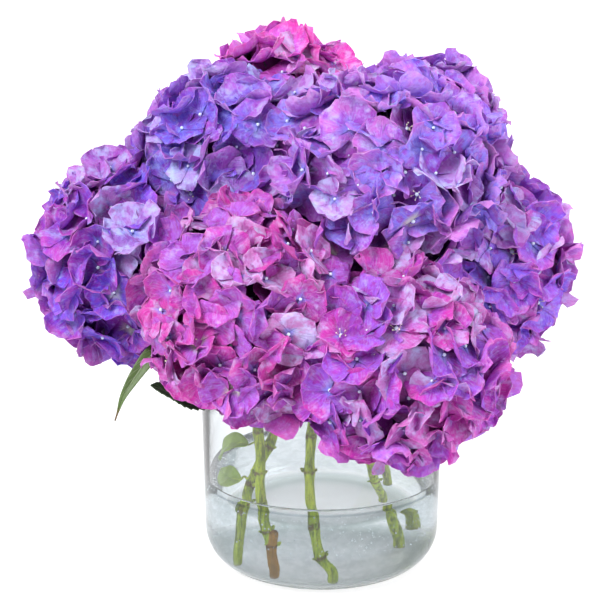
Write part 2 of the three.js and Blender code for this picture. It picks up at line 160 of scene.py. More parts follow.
# Places beside the heads that florets stay out of, and how far
BARE_PLACES = [((98, -158, 112), 36), ((133, -127, 150), 29), ((135, 85, 358), 33), ((-95, 11, 384), 31)]

# Sepals of each head: the colour of their pink side and of their blue side
HEAD_COLOURS = {
    "orchid": ("#c937a2", "#ab5dd0"),
    "magenta": ("#c436a8", "#9c55d6"),
    "lavender": ("#c068ca", "#8a7aec"),
    "periwinkle": ("#a754c4", "#7262da"),
    "violet": ("#b242b6", "#7250dc"),
    "hot_pink": ("#e241ae", "#c56ae0"),
    "lilac": ("#c650c0", "#8e66ea"),
    "purple": ("#b85ec6", "#7862d6"),
    "back_blue": ("#8a52be", "#6068d8"),
    "back_mauve": ("#b24cae", "#845acc"),
}

# Where stems fork
FORKS = {
    "lavender": (5, -12, 185),
    "violet": (-52, -40, 138),
    "front": (-7, -50, 138),
    "upper": (-10, 12, 170),
    "right": (30, 40, 130),
}

# Stems: each tube's head, radius, points and the heights of its nodes. A foot stands on the glass.
# Old wood has a share of 1.
STEMS = {
    "stem_left": [
        dict(
            to="lavender", radius=3.6, foot=(-58, -42), knots=(52, 71, 97, 117, 148),
            points=[
                (-57, -42, 28), (-54.5, -41, 50), (-53.5, -39, 65), (-46, -36.5, 83), (-38, -33, 98),
                (-30.5, -28, 117), (-18, -20, 143), (-6, -14.5, 165), FORKS["lavender"],
            ],
        ),
        dict(
            to="purple", radius=3.1, knots=(222,),
            points=[FORKS["lavender"], (10, 15, 215), (18, 42, 243), (38, 60, 258)],
        ),
    ],
    "stem_woody": [
        dict(
            to="violet", radius=3.6, knots=(44, 62, 86, 114, 160),
            points=[
                (-35, -60, 33), (-39, -58.5, 47), (-43, -57, 62), (-44.5, -56, 82), (-44, -54, 96),
                (-46, -49, 115), FORKS["violet"], (-62, -22, 155), (-80, -12, 175),
            ],
        ),
        dict(
            to="back_blue", radius=3.1, knots=(158,),
            points=[FORKS["violet"], (-56, -5, 158), (-58, 28, 175)],
        ),
        dict(
            to=None, radius=3.7, foot=(-33, -61), knots=(34,), wood=1.0,
            points=[(-33.5, -60.5, 18), (-35, -60, 33), (-33.5, -60, 45)],
        ),
    ],
    "stem_front": [
        dict(
            to="orchid", radius=3.6, foot=(7, -65), knots=(27, 50, 88, 113),
            points=[
                (-1, -65, 26), (-6, -65, 50), (-8.5, -63, 66), (-9.2, -61, 90), (-8, -57, 114),
                FORKS["front"], (-18, -46, 158),
            ],
        ),
        dict(to="magenta", radius=3.1, knots=(), points=[FORKS["front"], (6, -48, 149)]),
    ],
    "stem_right": [
        dict(
            to="periwinkle", radius=3.6, foot=(47, 17), knots=(46, 75, 116, 200),
            points=[
                (43, 9, 32), (40, 4, 46), (36, -4, 74), (26, -2, 95), (14, 4, 116), (1, 10, 143),
                FORKS["upper"], (-25, 13, 205), (-43, 12, 240),
            ],
        ),
        dict(
            to="hot_pink", radius=3.1, knots=(210,),
            points=[FORKS["upper"], (-13, 20, 205), (-16, 36, 245)],
        ),
    ],
    "stem_back": [
        dict(
            to="lilac", radius=3.6, foot=(52, 45), knots=(66, 100, 150),
            points=[(49, 44, 40), (44, 42, 66), (36, 40, 100), FORKS["right"], (44, 30, 155), (68, 14, 174)],
        ),
        dict(to="back_mauve", radius=3.1, knots=(), points=[FORKS["right"], (29, 45, 155)]),
    ],
}


def leaf_shape(width, fold, roll, root, rib, teeth=0, widest=0.5, taper=0.8):
    """A leaf's outline and lie. Roll is in degrees at its base and its tip, widest a share of its length."""
    return dict(
        width=width, fold=fold, roll=roll, root=root, rib=rib, teeth=teeth, widest=widest, taper=taper,
    )


# Leaves: their shape, the stem, tube and height that carry them, and the points of the midrib
LEAVES = {
    "leaf_sage": leaf_shape(
        width=11, widest=0.34, taper=1.1, fold=0.2, roll=(-30, -60), root=("stem_woody", 0, 172),
        rib=[
            (-104, -42, 178), (-117, -57, 177), (-127, -66, 167), (-139, -74, 149), (-143, -76, 138),
            (-145, -77, 132),
        ],
    ),
    "leaf_dark": leaf_shape(
        width=40, fold=0.12, roll=(-6, -20), teeth=21, root=("stem_front", 0, 152),
        rib=[(-42, -63, 145), (-66, -75, 147), (-92, -82, 150), (-119, -87, 161)],
    ),
    "leaf_pale": leaf_shape(
        width=15, fold=0.2, roll=(-35, -50), root=("stem_left", 0, 96),
        rib=[(-54, -28, 96), (-63, -22, 96), (-71, -16, 90), (-76, -10, 78)],
    ),
    "leaf_low": leaf_shape(
        width=16, fold=0.2, roll=(-45, -60), root=("stem_left", 0, 71),
        rib=[(-59, -31, 71), (-65, -26, 70), (-71, -19, 70), (-75, -12, 72)],
    ),
    "leaf_back_right": leaf_shape(
        width=46, fold=0.16, roll=(0, 25), teeth=21, root=("stem_back", 0, 150),
        rib=[(66, 30, 146), (88, 38, 137), (112, 46, 128), (134, 52, 117)],
    ),
    "leaf_back_left": leaf_shape(
        width=46, fold=0.16, roll=(0, 25), teeth=21, root=("stem_woody", 1, 162),
        rib=[(-76, 38, 158), (-98, 52, 154), (-120, 64, 148), (-142, 72, 138)],
    ),
}


def linear(code):
    """Linear colour of a hex code."""
    parts = [int(code[i:i + 2], 16) / 255 for i in (1, 3, 5)]
    return tuple(p / 12.92 if p <= 0.04045 else ((p + 0.055) / 1.055) ** 2.4 for p in parts)


def colour_prop(label, code, description):
    """A colour property with its default given as a hex code."""
    return bpy.props.FloatVectorProperty(
        name=label, description=description, subtype="COLOR", size=3, min=0, max=1, default=linear(code),
    )


def length_prop(label, millimetres, description):
    """A length property with its default given in millimetres."""
    return bpy.props.FloatProperty(
        name=label, description=description, unit="LENGTH", precision=4, default=millimetres * MM,
    )


def amount_prop(label, amount, description, unit="NONE"):
    """A property for an amount that is never negative."""
    return bpy.props.FloatProperty(
        name=label, description=description, unit=unit, default=amount, min=0,
    )


class FloretSizes(bpy.types.PropertyGroup):
    """Sizes of the florets on a flower head."""

    reach: length_prop("Floret reach", 19.5, "From a floret's bead to the tip of a sepal")
    spacing: length_prop("Floret spacing", 17, "Least room between the middles of neighbouring florets")
    thickness: length_prop("Sepal thickness", 0.45, "Thickness of a sepal")
    tilt: bpy.props.FloatProperty(
        name="Floret tilt", description="Largest random lean of a floret", subtype="ANGLE",
        default=math.radians(34),
    )


class HeadColours(bpy.types.PropertyGroup):
    """Warm and cool sepal colour of every flower head."""

    __annotations__ = {
        f"{head}_{side}": colour_prop(
            f"{head.replace('_', ' ').capitalize()}, {side}", code,
            f"{tint} side of the {head.replace('_', ' ')} head",
        )
        for head, codes in HEAD_COLOURS.items()
        for side, tint, code in zip(("warm", "cool"), ("Pink", "Blue"), codes)
    }


class GreenColours(bpy.types.PropertyGroup):
    """Colours of stems and leaves."""

    stem: colour_prop("Stem", "#bedc2c", "Green of the stems")
    wood: colour_prop("Wood", "#e2a23c", "Old wood of the branched stem")
    sage: colour_prop("Sage leaf", "#5f7743", "The narrow leaf at the left")
    dark: colour_prop("Dark leaf", "#2b4023", "The broad leaves under the flowers")
    pale: colour_prop("Pale leaf", "#acd440", "The small leaves in the glass")


class VaseSizes(bpy.types.PropertyGroup):
    """Sizes of the glass and the water."""

    radius: length_prop("Radius", VASE_RADIUS + 1, "Outer radius of the vase")
    height: length_prop("Height", VASE_HEIGHT, "Height of the vase")
    wall: length_prop("Wall", 1.9, "Thickness of the wall")
    base: length_prop("Base", 6, "Thickness of the base")
    corner: length_prop("Bottom corner", 28, "Outer radius of the bottom corner")
    flare: length_prop("Flare", 2.6, "How much wider the vase is at the rim")
    level: length_prop("Water level", 66, "Height of the water")
    bubbles: bpy.props.IntProperty(
        name="Bubbles", description="Bubbles on the glass in the water", default=1300, min=0,
    )


class StageLook(bpy.types.PropertyGroup):
    """Floor and light."""

    floor: colour_prop("Floor", "#969698", "Colour of the floor")
    glow: amount_prop("Floor glow", 0.86, "Light that the floor gives off")
    sky: amount_prop("Surround", 0.95, "Brightness of the surround")
    key: amount_prop("Key light", 122, "Power of the large light", "POWER")


# Nodes


class Graph:
    """A node tree that is built by expressions."""

    def __init__(self, tree):
        self.tree = tree

    def node(self, kind, settings=None, inputs=None, output=0):
        """Adds a node of any kind and gives one of its outputs."""
        made = self.tree.nodes.new(kind)
        for key, value in (settings or {}).items():
            setattr(made, key, value)
        for key, value in (inputs or {}).items():
            if isinstance(value, Value):
                self.tree.links.new(value.socket, made.inputs[key])
            else:
                made.inputs[key].default_value = value
        return Value(self, made.outputs[output]) if made.outputs else made

    def maths(self, operation, *parts):
        return self.node("ShaderNodeMath", {"operation": operation}, dict(enumerate(parts)))

    def fade(self, value, low, high):
        """0 at low and 1 at high, smooth between."""
        return self.node(
            "ShaderNodeMapRange", {"interpolation_type": "SMOOTHSTEP"}, {0: value, 1: low, 2: high},
        )

    def mix(self, share, first, second):
        """Mixes two colours. At a share of 0 it is the first."""
        inputs = {0: share, 6: rgba(first), 7: rgba(second)}
        return self.node("ShaderNodeMix", {"data_type": "RGBA"}, inputs, 2)

    def layers(self, colour, *coats):
        """A colour under coats of others, each with its share."""
        for share, tint in coats:
            colour = self.mix(share, colour, tint)
        return colour

    def spot(self):
        """Where a point of the surface lies, in metres."""
        return self.node("ShaderNodeTexCoord", {}, {}, "Object")

    def noise(self, place, scale, detail=2.0, rough=0.5):
        inputs = {"Vector": place, "Scale": scale, "Detail": detail, "Roughness": rough}
        return self.node("ShaderNodeTexNoise", {}, inputs)

    def stretch(self, place, by):
        """A place with each axis stretched."""
        return self.node("ShaderNodeVectorMath", {"operation": "MULTIPLY"}, {0: place, 1: by})

    def parts(self, place):
        """The three numbers of a vector."""
        first = self.node("ShaderNodeSeparateXYZ", {}, {0: place})
        return [Value(self, socket) for socket in first.socket.node.outputs]

    def attribute(self, name):
        return self.node("ShaderNodeAttribute", {"attribute_name": name}, {}, "Fac")


class Value:
    """A node's output, for use in expressions."""

    def __init__(self, graph, socket):
        self.graph = graph
        self.socket = socket

    def __add__(self, other):
        return self.graph.maths("ADD", self, other)

    def __radd__(self, other):
        return self.graph.maths("ADD", other, self)

    def __sub__(self, other):
        return self.graph.maths("SUBTRACT", self, other)

    def __rsub__(self, other):
        return self.graph.maths("SUBTRACT", other, self)

    def __mul__(self, other):
        return self.graph.maths("MULTIPLY", self, other)

    def __abs__(self):
        return self.graph.maths("ABSOLUTE", self)


def scaled(colour, by, add=0.0):
    """A lighter or darker colour."""
    return tuple(min(c * by + add, 1) for c in colour)


def rgba(colour):
    """A colour with its alpha, or a link as it is."""
    return colour if isinstance(colour, Value) else (*tuple(colour)[:3], 1.0)


def surface_of(name):
    """A new material, its graph and its surface shader's node."""
    material = bpy.data.materials.new(name)
    material.use_nodes = True
    material.node_tree.nodes.clear()
    graph = Graph(material.node_tree)
    shader = graph.node("ShaderNodeBsdfPrincipled", {}, {})
    graph.node("ShaderNodeOutputMaterial", {}, {"Surface": shader})
    return material, graph, shader.socket.node


def finish_surface(graph, shader, **inputs):
    """Sets or links sockets of the surface shader, by names with underscores for spaces."""
    for key, value in inputs.items():
        socket = shader.inputs[key.replace("_", " ")]
        if isinstance(value, Value):
            graph.tree.links.new(value.socket, socket)
        else:
            socket.default_value = value


def bump(graph, height, distance, strength):
    inputs = {"Height": height, "Distance": distance, "Strength": strength}
    return graph.node("ShaderNodeBump", {}, inputs)


# Meshes


def mesh_from(name, points, faces):
    """A smooth mesh object with its place in its points."""
    mesh = bpy.data.meshes.new(name)
    mesh.from_pydata([tuple(p) for p in points], [], [tuple(int(i) for i in f) for f in faces])
    mesh.polygons.foreach_set("use_smooth", [True] * len(mesh.polygons))
    mesh.update()
    return bpy.data.objects.new(name, mesh)


def show(obj):
    bpy.context.scene.collection.objects.link(obj)
    return obj


def set_attribute(mesh, name, values, kind="FLOAT"):
    layer = mesh.attributes.new(name, kind, "POINT")
    layer.data.foreach_set("vector" if kind == "FLOAT_VECTOR" else "value", np.ravel(values))


def set_uv(mesh, name, places):
    """A UV map with one place for each point."""
    layer = mesh.uv_layers.new(name=name)
    for loop in mesh.loops:
        layer.data[loop.index].uv = places[loop.vertex_index]


def coordinates(mesh):
    flat = np.empty(len(mesh.vertices) * 3)
    mesh.vertices.foreach_get("co", flat)
    return flat.reshape(-1, 3)


def settle(obj):
    """Keeps the evaluated shape as a plain mesh, without modifiers."""
    bpy.context.view_layer.update()
    graph = bpy.context.evaluated_depsgraph_get()
    mesh = bpy.data.meshes.new_from_object(obj.evaluated_get(graph), depsgraph=graph)
    obj.modifiers.clear()
    old = obj.data
    obj.data = mesh
    mesh.name = obj.name
    bpy.data.meshes.remove(old)
    face_out(mesh)
    return obj


def face_out(mesh):
    """Turns the faces of a closed mesh outward, if the volume that they enclose is negative."""
    mesh.calc_loop_triangles()
    corners = np.empty(len(mesh.loop_triangles) * 3, dtype=np.int64)
    mesh.loop_triangles.foreach_get("vertices", corners)
    a, b, c = coordinates(mesh)[corners.reshape(-1, 3)].transpose(1, 0, 2)
    if np.einsum("ij,ij->i", a, np.cross(b, c)).sum() < 0:
        mesh.flip_normals()


def smooth_curve(points, count):
    """Even points on a centripetal curve through the given ones."""
    knots = [Vector(p) for p in points]
    knots = [knots[0] * 2 - knots[1], *knots, knots[-1] * 2 - knots[-2]]
    fine = []
    for p0, p1, p2, p3 in zip(knots, knots[1:], knots[2:], knots[3:]):
        steps = [max((b - a).length ** 0.5, 1e-4) for a, b in ((p0, p1), (p1, p2), (p2, p3))]
        m1 = (p1 - p0) / steps[0] - (p2 - p0) / (steps[0] + steps[1]) + (p2 - p1) / steps[1]
        m2 = (p2 - p1) / steps[1] - (p3 - p1) / (steps[1] + steps[2]) + (p3 - p2) / steps[2]
        m1, m2 = m1 * steps[1], m2 * steps[1]
        for k in range(24):
            t = k / 24
            fine.append(
                (2 * t**3 - 3 * t**2 + 1) * p1 + (t**3 - 2 * t**2 + t) * m1
                + (3 * t**2 - 2 * t**3) * p2 + (t**3 - t**2) * m2
            )
    fine.append(knots[-2].copy())
    fine = np.array(fine)
    gone = np.concatenate([[0], np.cumsum(np.linalg.norm(np.diff(fine, axis=0), axis=1))])
    even = np.linspace(0, gone[-1], count)
    return np.stack([np.interp(even, gone, fine[:, k]) for k in range(3)], axis=1)


# Geometry node trees


def new_tree(name, sockets):
    """A geometry tree with named inputs, its graph and the inputs as values."""
    tree = bpy.data.node_groups.new(name, "GeometryNodeTree")
    tree.interface.new_socket("Geometry", in_out="OUTPUT", socket_type="NodeSocketGeometry")
    for label, kind in sockets:
        tree.interface.new_socket(label, in_out="INPUT", socket_type=kind)
    graph = Graph(tree)
    start = tree.nodes.new("NodeGroupInput")
    return tree, graph, {label: Value(graph, start.outputs[label]) for label, _ in sockets}


def close_tree(graph, geometry, material):
    """Ends a tree in Realize Instances and Set Material."""
    plain = graph.node("GeometryNodeRealizeInstances", {}, {"Geometry": geometry})
    painted = graph.node("GeometryNodeSetMaterial", {}, {"Geometry": plain, "Material": material})
    graph.tree.links.new(painted.socket, graph.tree.nodes.new("NodeGroupOutput").inputs[0])


def named(graph, name, kind):
    return graph.node("GeometryNodeInputNamedAttribute", {"data_type": kind}, {"Name": name})


def scatter_tree():
    """Sets one of several small shapes on every point, facing outward, with a random turn and lean."""
    kept = bpy.data.node_groups.get("set_on_points")
    if kept:
        return kept
    tree, graph, given = new_tree("set_on_points", [
        ("Geometry", "NodeSocketGeometry"), ("Shapes", "NodeSocketCollection"),
        ("Shape Count", "NodeSocketInt"), ("Tilt", "NodeSocketFloat"),
        ("Rare Share", "NodeSocketFloat"), ("Seed", "NodeSocketInt"), ("Material", "NodeSocketMaterial"),
    ])
    outward = named(graph, "outward", "FLOAT_VECTOR")
    grow = named(graph, "grow", "FLOAT")
    facing = graph.node("FunctionNodeAlignRotationToVector", {"axis": "Z"}, {"Vector": outward})
    low = graph.node("ShaderNodeCombineXYZ", {}, {0: 0 - given["Tilt"], 1: 0 - given["Tilt"], 2: -math.pi})
    high = graph.node("ShaderNodeCombineXYZ", {}, {0: given["Tilt"], 1: given["Tilt"], 2: math.pi})
    turn = graph.node(
        "FunctionNodeRandomValue", {"data_type": "FLOAT_VECTOR"},
        {0: low, 1: high, "Seed": given["Seed"]},
    )
    lean = graph.node("FunctionNodeEulerToRotation", {}, {0: turn})
    rotation = graph.node(
        "FunctionNodeRotateRotation", {"rotation_space": "LOCAL"}, {0: facing, 1: lean},
    )
    pick = graph.node(
        "FunctionNodeRandomValue", {"data_type": "INT"},
        {4: 0, 5: given["Shape Count"] - 2, "Seed": given["Seed"] + 1}, 2,
    )
    rare = graph.node(
        "FunctionNodeRandomValue", {"data_type": "BOOLEAN"},
        {"Probability": given["Rare Share"], "Seed": given["Seed"] + 2}, 3,
    )
    chosen = graph.node(
        "GeometryNodeSwitch", {"input_type": "INT"},
        {"Switch": rare, "False": pick, "True": given["Shape Count"] - 1},
    )
    shapes = graph.node(
        "GeometryNodeCollectionInfo", {},
        {"Collection": given["Shapes"], "Separate Children": True, "Reset Children": True},
    )
    placed = graph.node("GeometryNodeInstanceOnPoints", {}, {
        "Points": given["Geometry"], "Instance": shapes, "Pick Instance": True, "Instance Index": chosen,
        "Rotation": rotation, "Scale": grow,
    })
    close_tree(graph, placed, given["Material"])
    return tree


def sweep_tree():
    """A round tube along a line of points, as thick as each point says."""
    kept = bpy.data.node_groups.get("sweep_along_path")
    if kept:
        return kept
    tree, graph, given = new_tree("sweep_along_path", [
        ("Geometry", "NodeSocketGeometry"), ("Sides", "NodeSocketInt"), ("Material", "NodeSocketMaterial"),
    ])
    line = graph.node("GeometryNodeMeshToCurve", {}, {"Mesh": given["Geometry"]})
    thick = named(graph, "thick", "FLOAT")
    circle = graph.node(
        "GeometryNodeCurvePrimitiveCircle", {"mode": "RADIUS"}, {"Resolution": given["Sides"], "Radius": 1.0},
    )
    tube = graph.node(
        "GeometryNodeCurveToMesh", {},
        {"Curve": line, "Profile Curve": circle, "Scale": thick, "Fill Caps": True},
    )
    round_off = graph.node("GeometryNodeSetShadeSmooth", {}, {"Geometry": tube})
    close_tree(graph, round_off, given["Material"])
    return tree


def grown(obj, tree, **inputs):
    """Puts a tree on an object, sets its inputs by their identifiers and keeps the result as a mesh."""
    modifier = obj.modifiers.new(tree.name, "NODES")
    modifier.node_group = tree
    sockets = {
        item.name.replace(" ", "_"): item.identifier
        for item in tree.interface.items_tree if item.item_type == "SOCKET" and item.in_out == "INPUT"
    }
    for key, value in inputs.items():
        modifier[sockets[key]] = value
    return settle(obj)


def shape_box(name, shapes):
    """A collection of small shapes for a tree to pick from, which the scene itself doesn't show."""
    collection = bpy.data.collections.new(name)
    for shape in shapes:
        collection.objects.link(shape)
    return collection


def empty_box(collection):
    for shape in list(collection.objects):
        mesh = shape.data
        bpy.data.objects.remove(shape)
        bpy.data.meshes.remove(mesh)
    bpy.data.collections.remove(collection)


def points_object(name, points, **attributes):
    """An object of loose points that carry attributes."""
    obj = show(mesh_from(name, points, []))
    for key, values in attributes.items():
        kind = "FLOAT_VECTOR" if np.ndim(values) == 2 else "FLOAT"
        set_attribute(obj.data, key, values, kind)
    return obj


def scattered(obj, box, tilt, seed, material, rare=0.0):
    """Sets shapes from a box on an object's points. The last shape comes only as the rare one."""
    return grown(
        obj, scatter_tree(), Shapes=box, Shape_Count=len(box.objects), Tilt=tilt, Rare_Share=rare,
        Seed=seed, Material=material,
    )


def path_object(name, lines):
    """An object of open lines. Each line is its points and its attributes by name."""
    mesh = bpy.data.meshes.new(name)
    points = np.concatenate([line[0] for line in lines])
    edges = []
    start = 0
    for line in lines:
        edges += [(start + i, start + i + 1) for i in range(len(line[0]) - 1)]
        start += len(line[0])
    mesh.from_pydata([tuple(p) for p in points], edges, [])
    for key in lines[0][1]:
        set_attribute(mesh, key, np.concatenate([line[1][key] for line in lines]))
    return show(bpy.data.objects.new(name, mesh))


def plain_line(points, thick):
    """A line without nodes or bark. Its points and thickness are given in millimetres."""
    none = np.zeros(len(points))
    return points * MM, {"thick": thick * MM, "knot": none, "wood": none}


def dressed(obj, node):
    """Tells the frame what a piece rides on and stands for."""
    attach(obj, "root")
    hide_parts(node)
    return obj


# Flower heads


def prepare_heads():
    """Adds to every head what follows from its place: axis, core, joint and the walls that press it."""
    for name, head in HEADS.items():
        head["name"] = name
        head["centre"] = Vector(head["centre"])
        head["axis"] = (head["centre"] - BOUQUET_FOCUS).normalized()
        head["mean"] = (head["across"] + head["upright"]) / 2
        head["core"] = head["mean"] * CORE_SHARE
        head["joint"] = head["centre"] - head["axis"] * (head["core"] + RECEPTACLE_LENGTH)
    for head in HEADS.values():
        head["walls"] = walls_of(head)


def walls_of(head):
    """Planes that a head is pressed against: its neighbours and the vase's rim."""
    walls = []
    for other in HEADS.values():
        away = other["centre"] - head["centre"]
        span = away.length
        if other is head or span > head["mean"] + other["mean"] + HEAD_REACH:
            continue
        limit = (span**2 + head["mean"] ** 2 - other["mean"] ** 2) / (2 * span)
        walls.append((away / span, limit - HEAD_GAP / 2))
    head["neighbours"] = len(walls)
    flat = Vector((head["centre"].x, head["centre"].y, 0)).normalized() * VASE_RADIUS
    flat.z = VASE_HEIGHT
    to_rim = flat - head["centre"]
    if to_rim.length < head["mean"] + head["rim"] + RIM_REACH:
        walls.append((to_rim.normalized(), to_rim.length - head["rim"]))
    return walls


def press_back(points, head, overlap=0.0):
    """Points past the last millimetres before a wall are pressed so that they never reach it."""
    centre = np.array(head["centre"])
    for index, (normal, limit) in enumerate(head["walls"]):
        normal = np.array(normal)
        limit = limit + (overlap if index < head["neighbours"] else 0.0)
        along = (points - centre) @ normal
        free = limit - PRESS_DEPTH
        past = along > free
        pressed = limit - PRESS_DEPTH * np.exp(-(along[past] - free) / PRESS_DEPTH)
        points[past] += (pressed - along[past])[:, None] * normal
    return points


def head_depths(points):
    """How far points stand out of each head, one column a head."""
    columns = []
    for head in HEADS.values():
        radii = np.array([head["across"], head["across"], head["upright"]])
        reach = np.abs(points - np.array(head["centre"])) / radii
        size = (reach ** head["square"]).sum(axis=-1) ** (1 / head["square"])
        columns.append((size - 1) * head["mean"])
    return np.stack(columns, axis=-1)


def out_of_bouquet(points):
    """How far points stand out of all heads together, with the hollows between them filled softly."""
    depths = head_depths(points)
    low = depths.min(axis=-1)
    return low - SEAM_FILL * np.log(np.exp((low[..., None] - depths) / SEAM_FILL).sum(axis=-1))


def facing(points):
    """The way that the bouquet's surface faces at points."""
    slopes = [out_of_bouquet(points + step) - out_of_bouquet(points - step) for step in np.eye(3)]
    slopes = np.stack(slopes, axis=-1)
    return slopes / np.linalg.norm(slopes, axis=-1, keepdims=True)


def cast_out(head, directions, depth):
    """Where lines from a head's centre reach a depth under the surface, and whether that is in this head."""
    radii = np.array([head["across"], head["across"], head["upright"]])
    size = (np.abs(directions) ** head["square"]).sum(axis=1) ** (-1 / head["square"])
    shares = np.linspace(0.4, 1.5, 111)
    away = (directions * size[:, None] * radii)[:, None, :]
    points = np.array(head["centre"]) + away * shares[None, :, None]
    outside = out_of_bouquet(points) > -depth
    beyond = head_depths(points).argmin(axis=-1) != list(HEADS).index(head["name"])
    outside[:, -1] = beyond[:, -1] = True
    first, across = outside.argmax(axis=1), beyond.argmax(axis=1)
    return points[np.arange(len(points)), np.minimum(first, across)], first < across


def spiral(head, count, lowest):
    """Even directions over a cap about a head's axis."""
    rng = np.random.default_rng(head["seed"])
    rise = 1 - (np.arange(count) + 0.5) / count * (1 - lowest)
    angle = np.arange(count) * GOLDEN_ANGLE + head["seed"] + rng.uniform(-0.3, 0.3, count)
    flat = np.sqrt(1 - rise**2)
    turn = np.array(Vector((0, 0, 1)).rotation_difference(head["axis"]).to_matrix())
    return np.stack([flat * np.cos(angle), flat * np.sin(angle), rise], axis=1) @ turn.T


def floret_places(head, spacing, taken, depth, kept_clear):
    """Places for florets over a head and the way they face. None is nearer than the spacing to another."""
    places, own = cast_out(head, spiral(head, FLORET_TRIES, math.cos(HEAD_COVER)), depth)
    ways = facing(places)
    chosen = []
    for point, way, fits in zip(places, ways, own):
        point = Vector(point)
        normal, limit = head["walls"][-1]
        if len(head["walls"]) > head["neighbours"]:
            past = (point - head["centre"]).dot(normal) - (limit - RIM_DEPTH)
            point -= normal * max(past, 0)
            fits = fits and past < RIM_PRESS
        if not fits or any((sample - point).length < room for sample, room in kept_clear):
            continue
        if all((point - other).length > spacing for other in taken):
            taken.append(point)
            chosen.append((point, Vector(way)))
    return chosen


def places_kept_clear():
    """Points that florets stay away from, and how far: stems, bare places and the edge of the dark leaf."""
    tubes = [tube for stem in STEMS.values() for tube in stem]
    kept = [(Vector(p), STEM_ROOM) for tube in tubes for p in tube_path(tube, 40)]
    kept += [(Vector(p), room) for p, room in BARE_PLACES]
    edge = [Vector(p) for p in leaf_grid(LEAVES["leaf_dark"], 12, 2)[3:, 0]]
    kept += [(p, LEAF_ROOM) for p in edge]
    sight = [Vector((0, -out, out * SIGHT_SLOPE)) for out in SIGHT_STEPS]
    return kept + [(p + step, SIGHT_ROOM) for p in edge[3:] for step in sight]


# A sepal's grid: stations from its root to its tip, with the half widths there, and places across it
ROWS = np.array([0.0, 0.2, 0.44, 0.68, 0.87, 1.0])
HALF_WIDTHS = [0.12, 0.54, 0.93, 1.05, 0.94, 0.6]
COLUMNS = np.array([-1.0, -0.55, 0.0, 0.55, 1.0])


def sepal(rng, cup, reach):
    """Middle surface of one sepal that points along +Y, as a grid of points, its length being one reach."""
    v, u = np.meshgrid(ROWS, COLUMNS, indexing="ij")
    length = reach * rng.uniform(0.92, 1.06)
    width = reach * rng.uniform(0.6, 0.7)
    half = width * np.interp(v, ROWS, HALF_WIDTHS)
    x = half * u * (1 + rng.uniform(-0.09, 0.09, u.shape)) + length * rng.uniform(-0.14, 0.14) * v**2
    y = length * v * (1 - rng.uniform(0.16, 0.34) * np.abs(u) ** 1.5 * v**2)
    curl = rng.uniform(-0.36, 0.14)
    trough = rng.uniform(-0.3, 0.46)
    ruffle = rng.uniform(0.06, 0.15)
    phase = rng.uniform(0, 2 * math.pi)
    z = length * (cup * v**1.5 + curl * v**3)
    z = z + width * trough * u**2 * v - 0.05 * width * (1 - np.abs(u)) * np.sin(math.pi * v)
    z = z + reach * ruffle * np.sin(3.3 * v * u + phase + 2.4 * v) * np.abs(u) ** 0.7 * v
    z = z + reach * 0.035 * rng.uniform(-1, 1, u.shape) * v
    twist = rng.uniform(-0.38, 0.38)
    x, z = x * math.cos(twist) + z * math.sin(twist) * v, z * math.cos(twist) - x * math.sin(twist) * v
    return np.stack([x, y + 0.035 * reach, z], axis=-1)


def shell_of(grid, thickness):
    """Closed thin shell about a grid: points, faces, places on the grid, points beneath, faces in the rim."""
    rows, columns = grid.shape[:2]
    along = np.gradient(grid, axis=0)
    across = np.gradient(grid, axis=1)
    normal = np.cross(across, along)
    normal /= np.linalg.norm(normal, axis=-1, keepdims=True)
    off = normal * thickness / 2
    points = np.concatenate([(grid + off).reshape(-1, 3), (grid - off).reshape(-1, 3)])
    below = rows * columns
    faces = []
    for i in range(rows - 1):
        for j in range(columns - 1):
            a = i * columns + j
            quad = (a, a + 1, a + columns + 1, a + columns)
            faces.append(quad)
            faces.append(tuple(below + k for k in reversed(quad)))
    edge = [*range(columns), *(i * columns + columns - 1 for i in range(1, rows))]
    edge += [*((rows - 1) * columns + j for j in range(columns - 2, -1, -1))]
    edge += [*(i * columns for i in range(rows - 2, 0, -1))]
    faces += [(a, below + a, below + b, b) for a, b in zip(edge, edge[1:] + edge[:1])]
    v, u = np.meshgrid(np.linspace(0, 1, rows), np.linspace(0, 1, columns), indexing="ij")
    place = np.stack([u.ravel(), v.ravel()], axis=1)
    under = np.repeat([0.0, 1.0], below)
    return points, faces, np.concatenate([place, place]), under, len(edge)


def turned(profile, sides):
    """Points and faces of a turned shape, from a profile of radii and heights that ends on the axis."""
    points = [(0, 0, profile[0][1])]
    inner = profile[1:-1]
    for radius, height in inner:
        for j in range(sides):
            angle = 2 * math.pi * j / sides
            points.append((radius * math.cos(angle), radius * math.sin(angle), height))
    points.append((0, 0, profile[-1][1]))
    faces = [(0, 1 + (j + 1) % sides, 1 + j) for j in range(sides)]
    for i in range(len(inner) - 1):
        for j in range(sides):
            a, b = 1 + i * sides + j, 1 + i * sides + (j + 1) % sides
            faces.append((a, b, b + sides, a + sides))
    last = len(points) - 1
    faces += [(last, last - sides + j, last - sides + (j + 1) % sides) for j in range(sides)]
    return points, faces


def ball(centre, radius, sides, rings):
    """A small closed ball."""
    tilts = np.linspace(0, math.pi, rings + 1)
    points, faces = turned([(math.sin(tilt), -math.cos(tilt)) for tilt in tilts], sides)
    return np.array(centre) + radius * np.array(points), faces


def thin_stalk(top, bottom, radius, sides=4):
    """A closed thin prism between two points that lie roughly one above the other."""
    points = []
    for end in (top, bottom):
        for j in range(sides):
            angle = 2 * math.pi * j / sides
            points.append(np.array(end) + (radius * math.cos(angle), radius * math.sin(angle), 0))
    faces = [tuple(range(sides)), tuple(reversed(range(sides, 2 * sides)))]
    faces += [(j, sides + j, sides + (j + 1) % sides, (j + 1) % sides) for j in range(sides)]
    return points, faces


SEPAL, BEAD, STALK, ANTHER = 0.0, 1.0, 2.0, 3.0


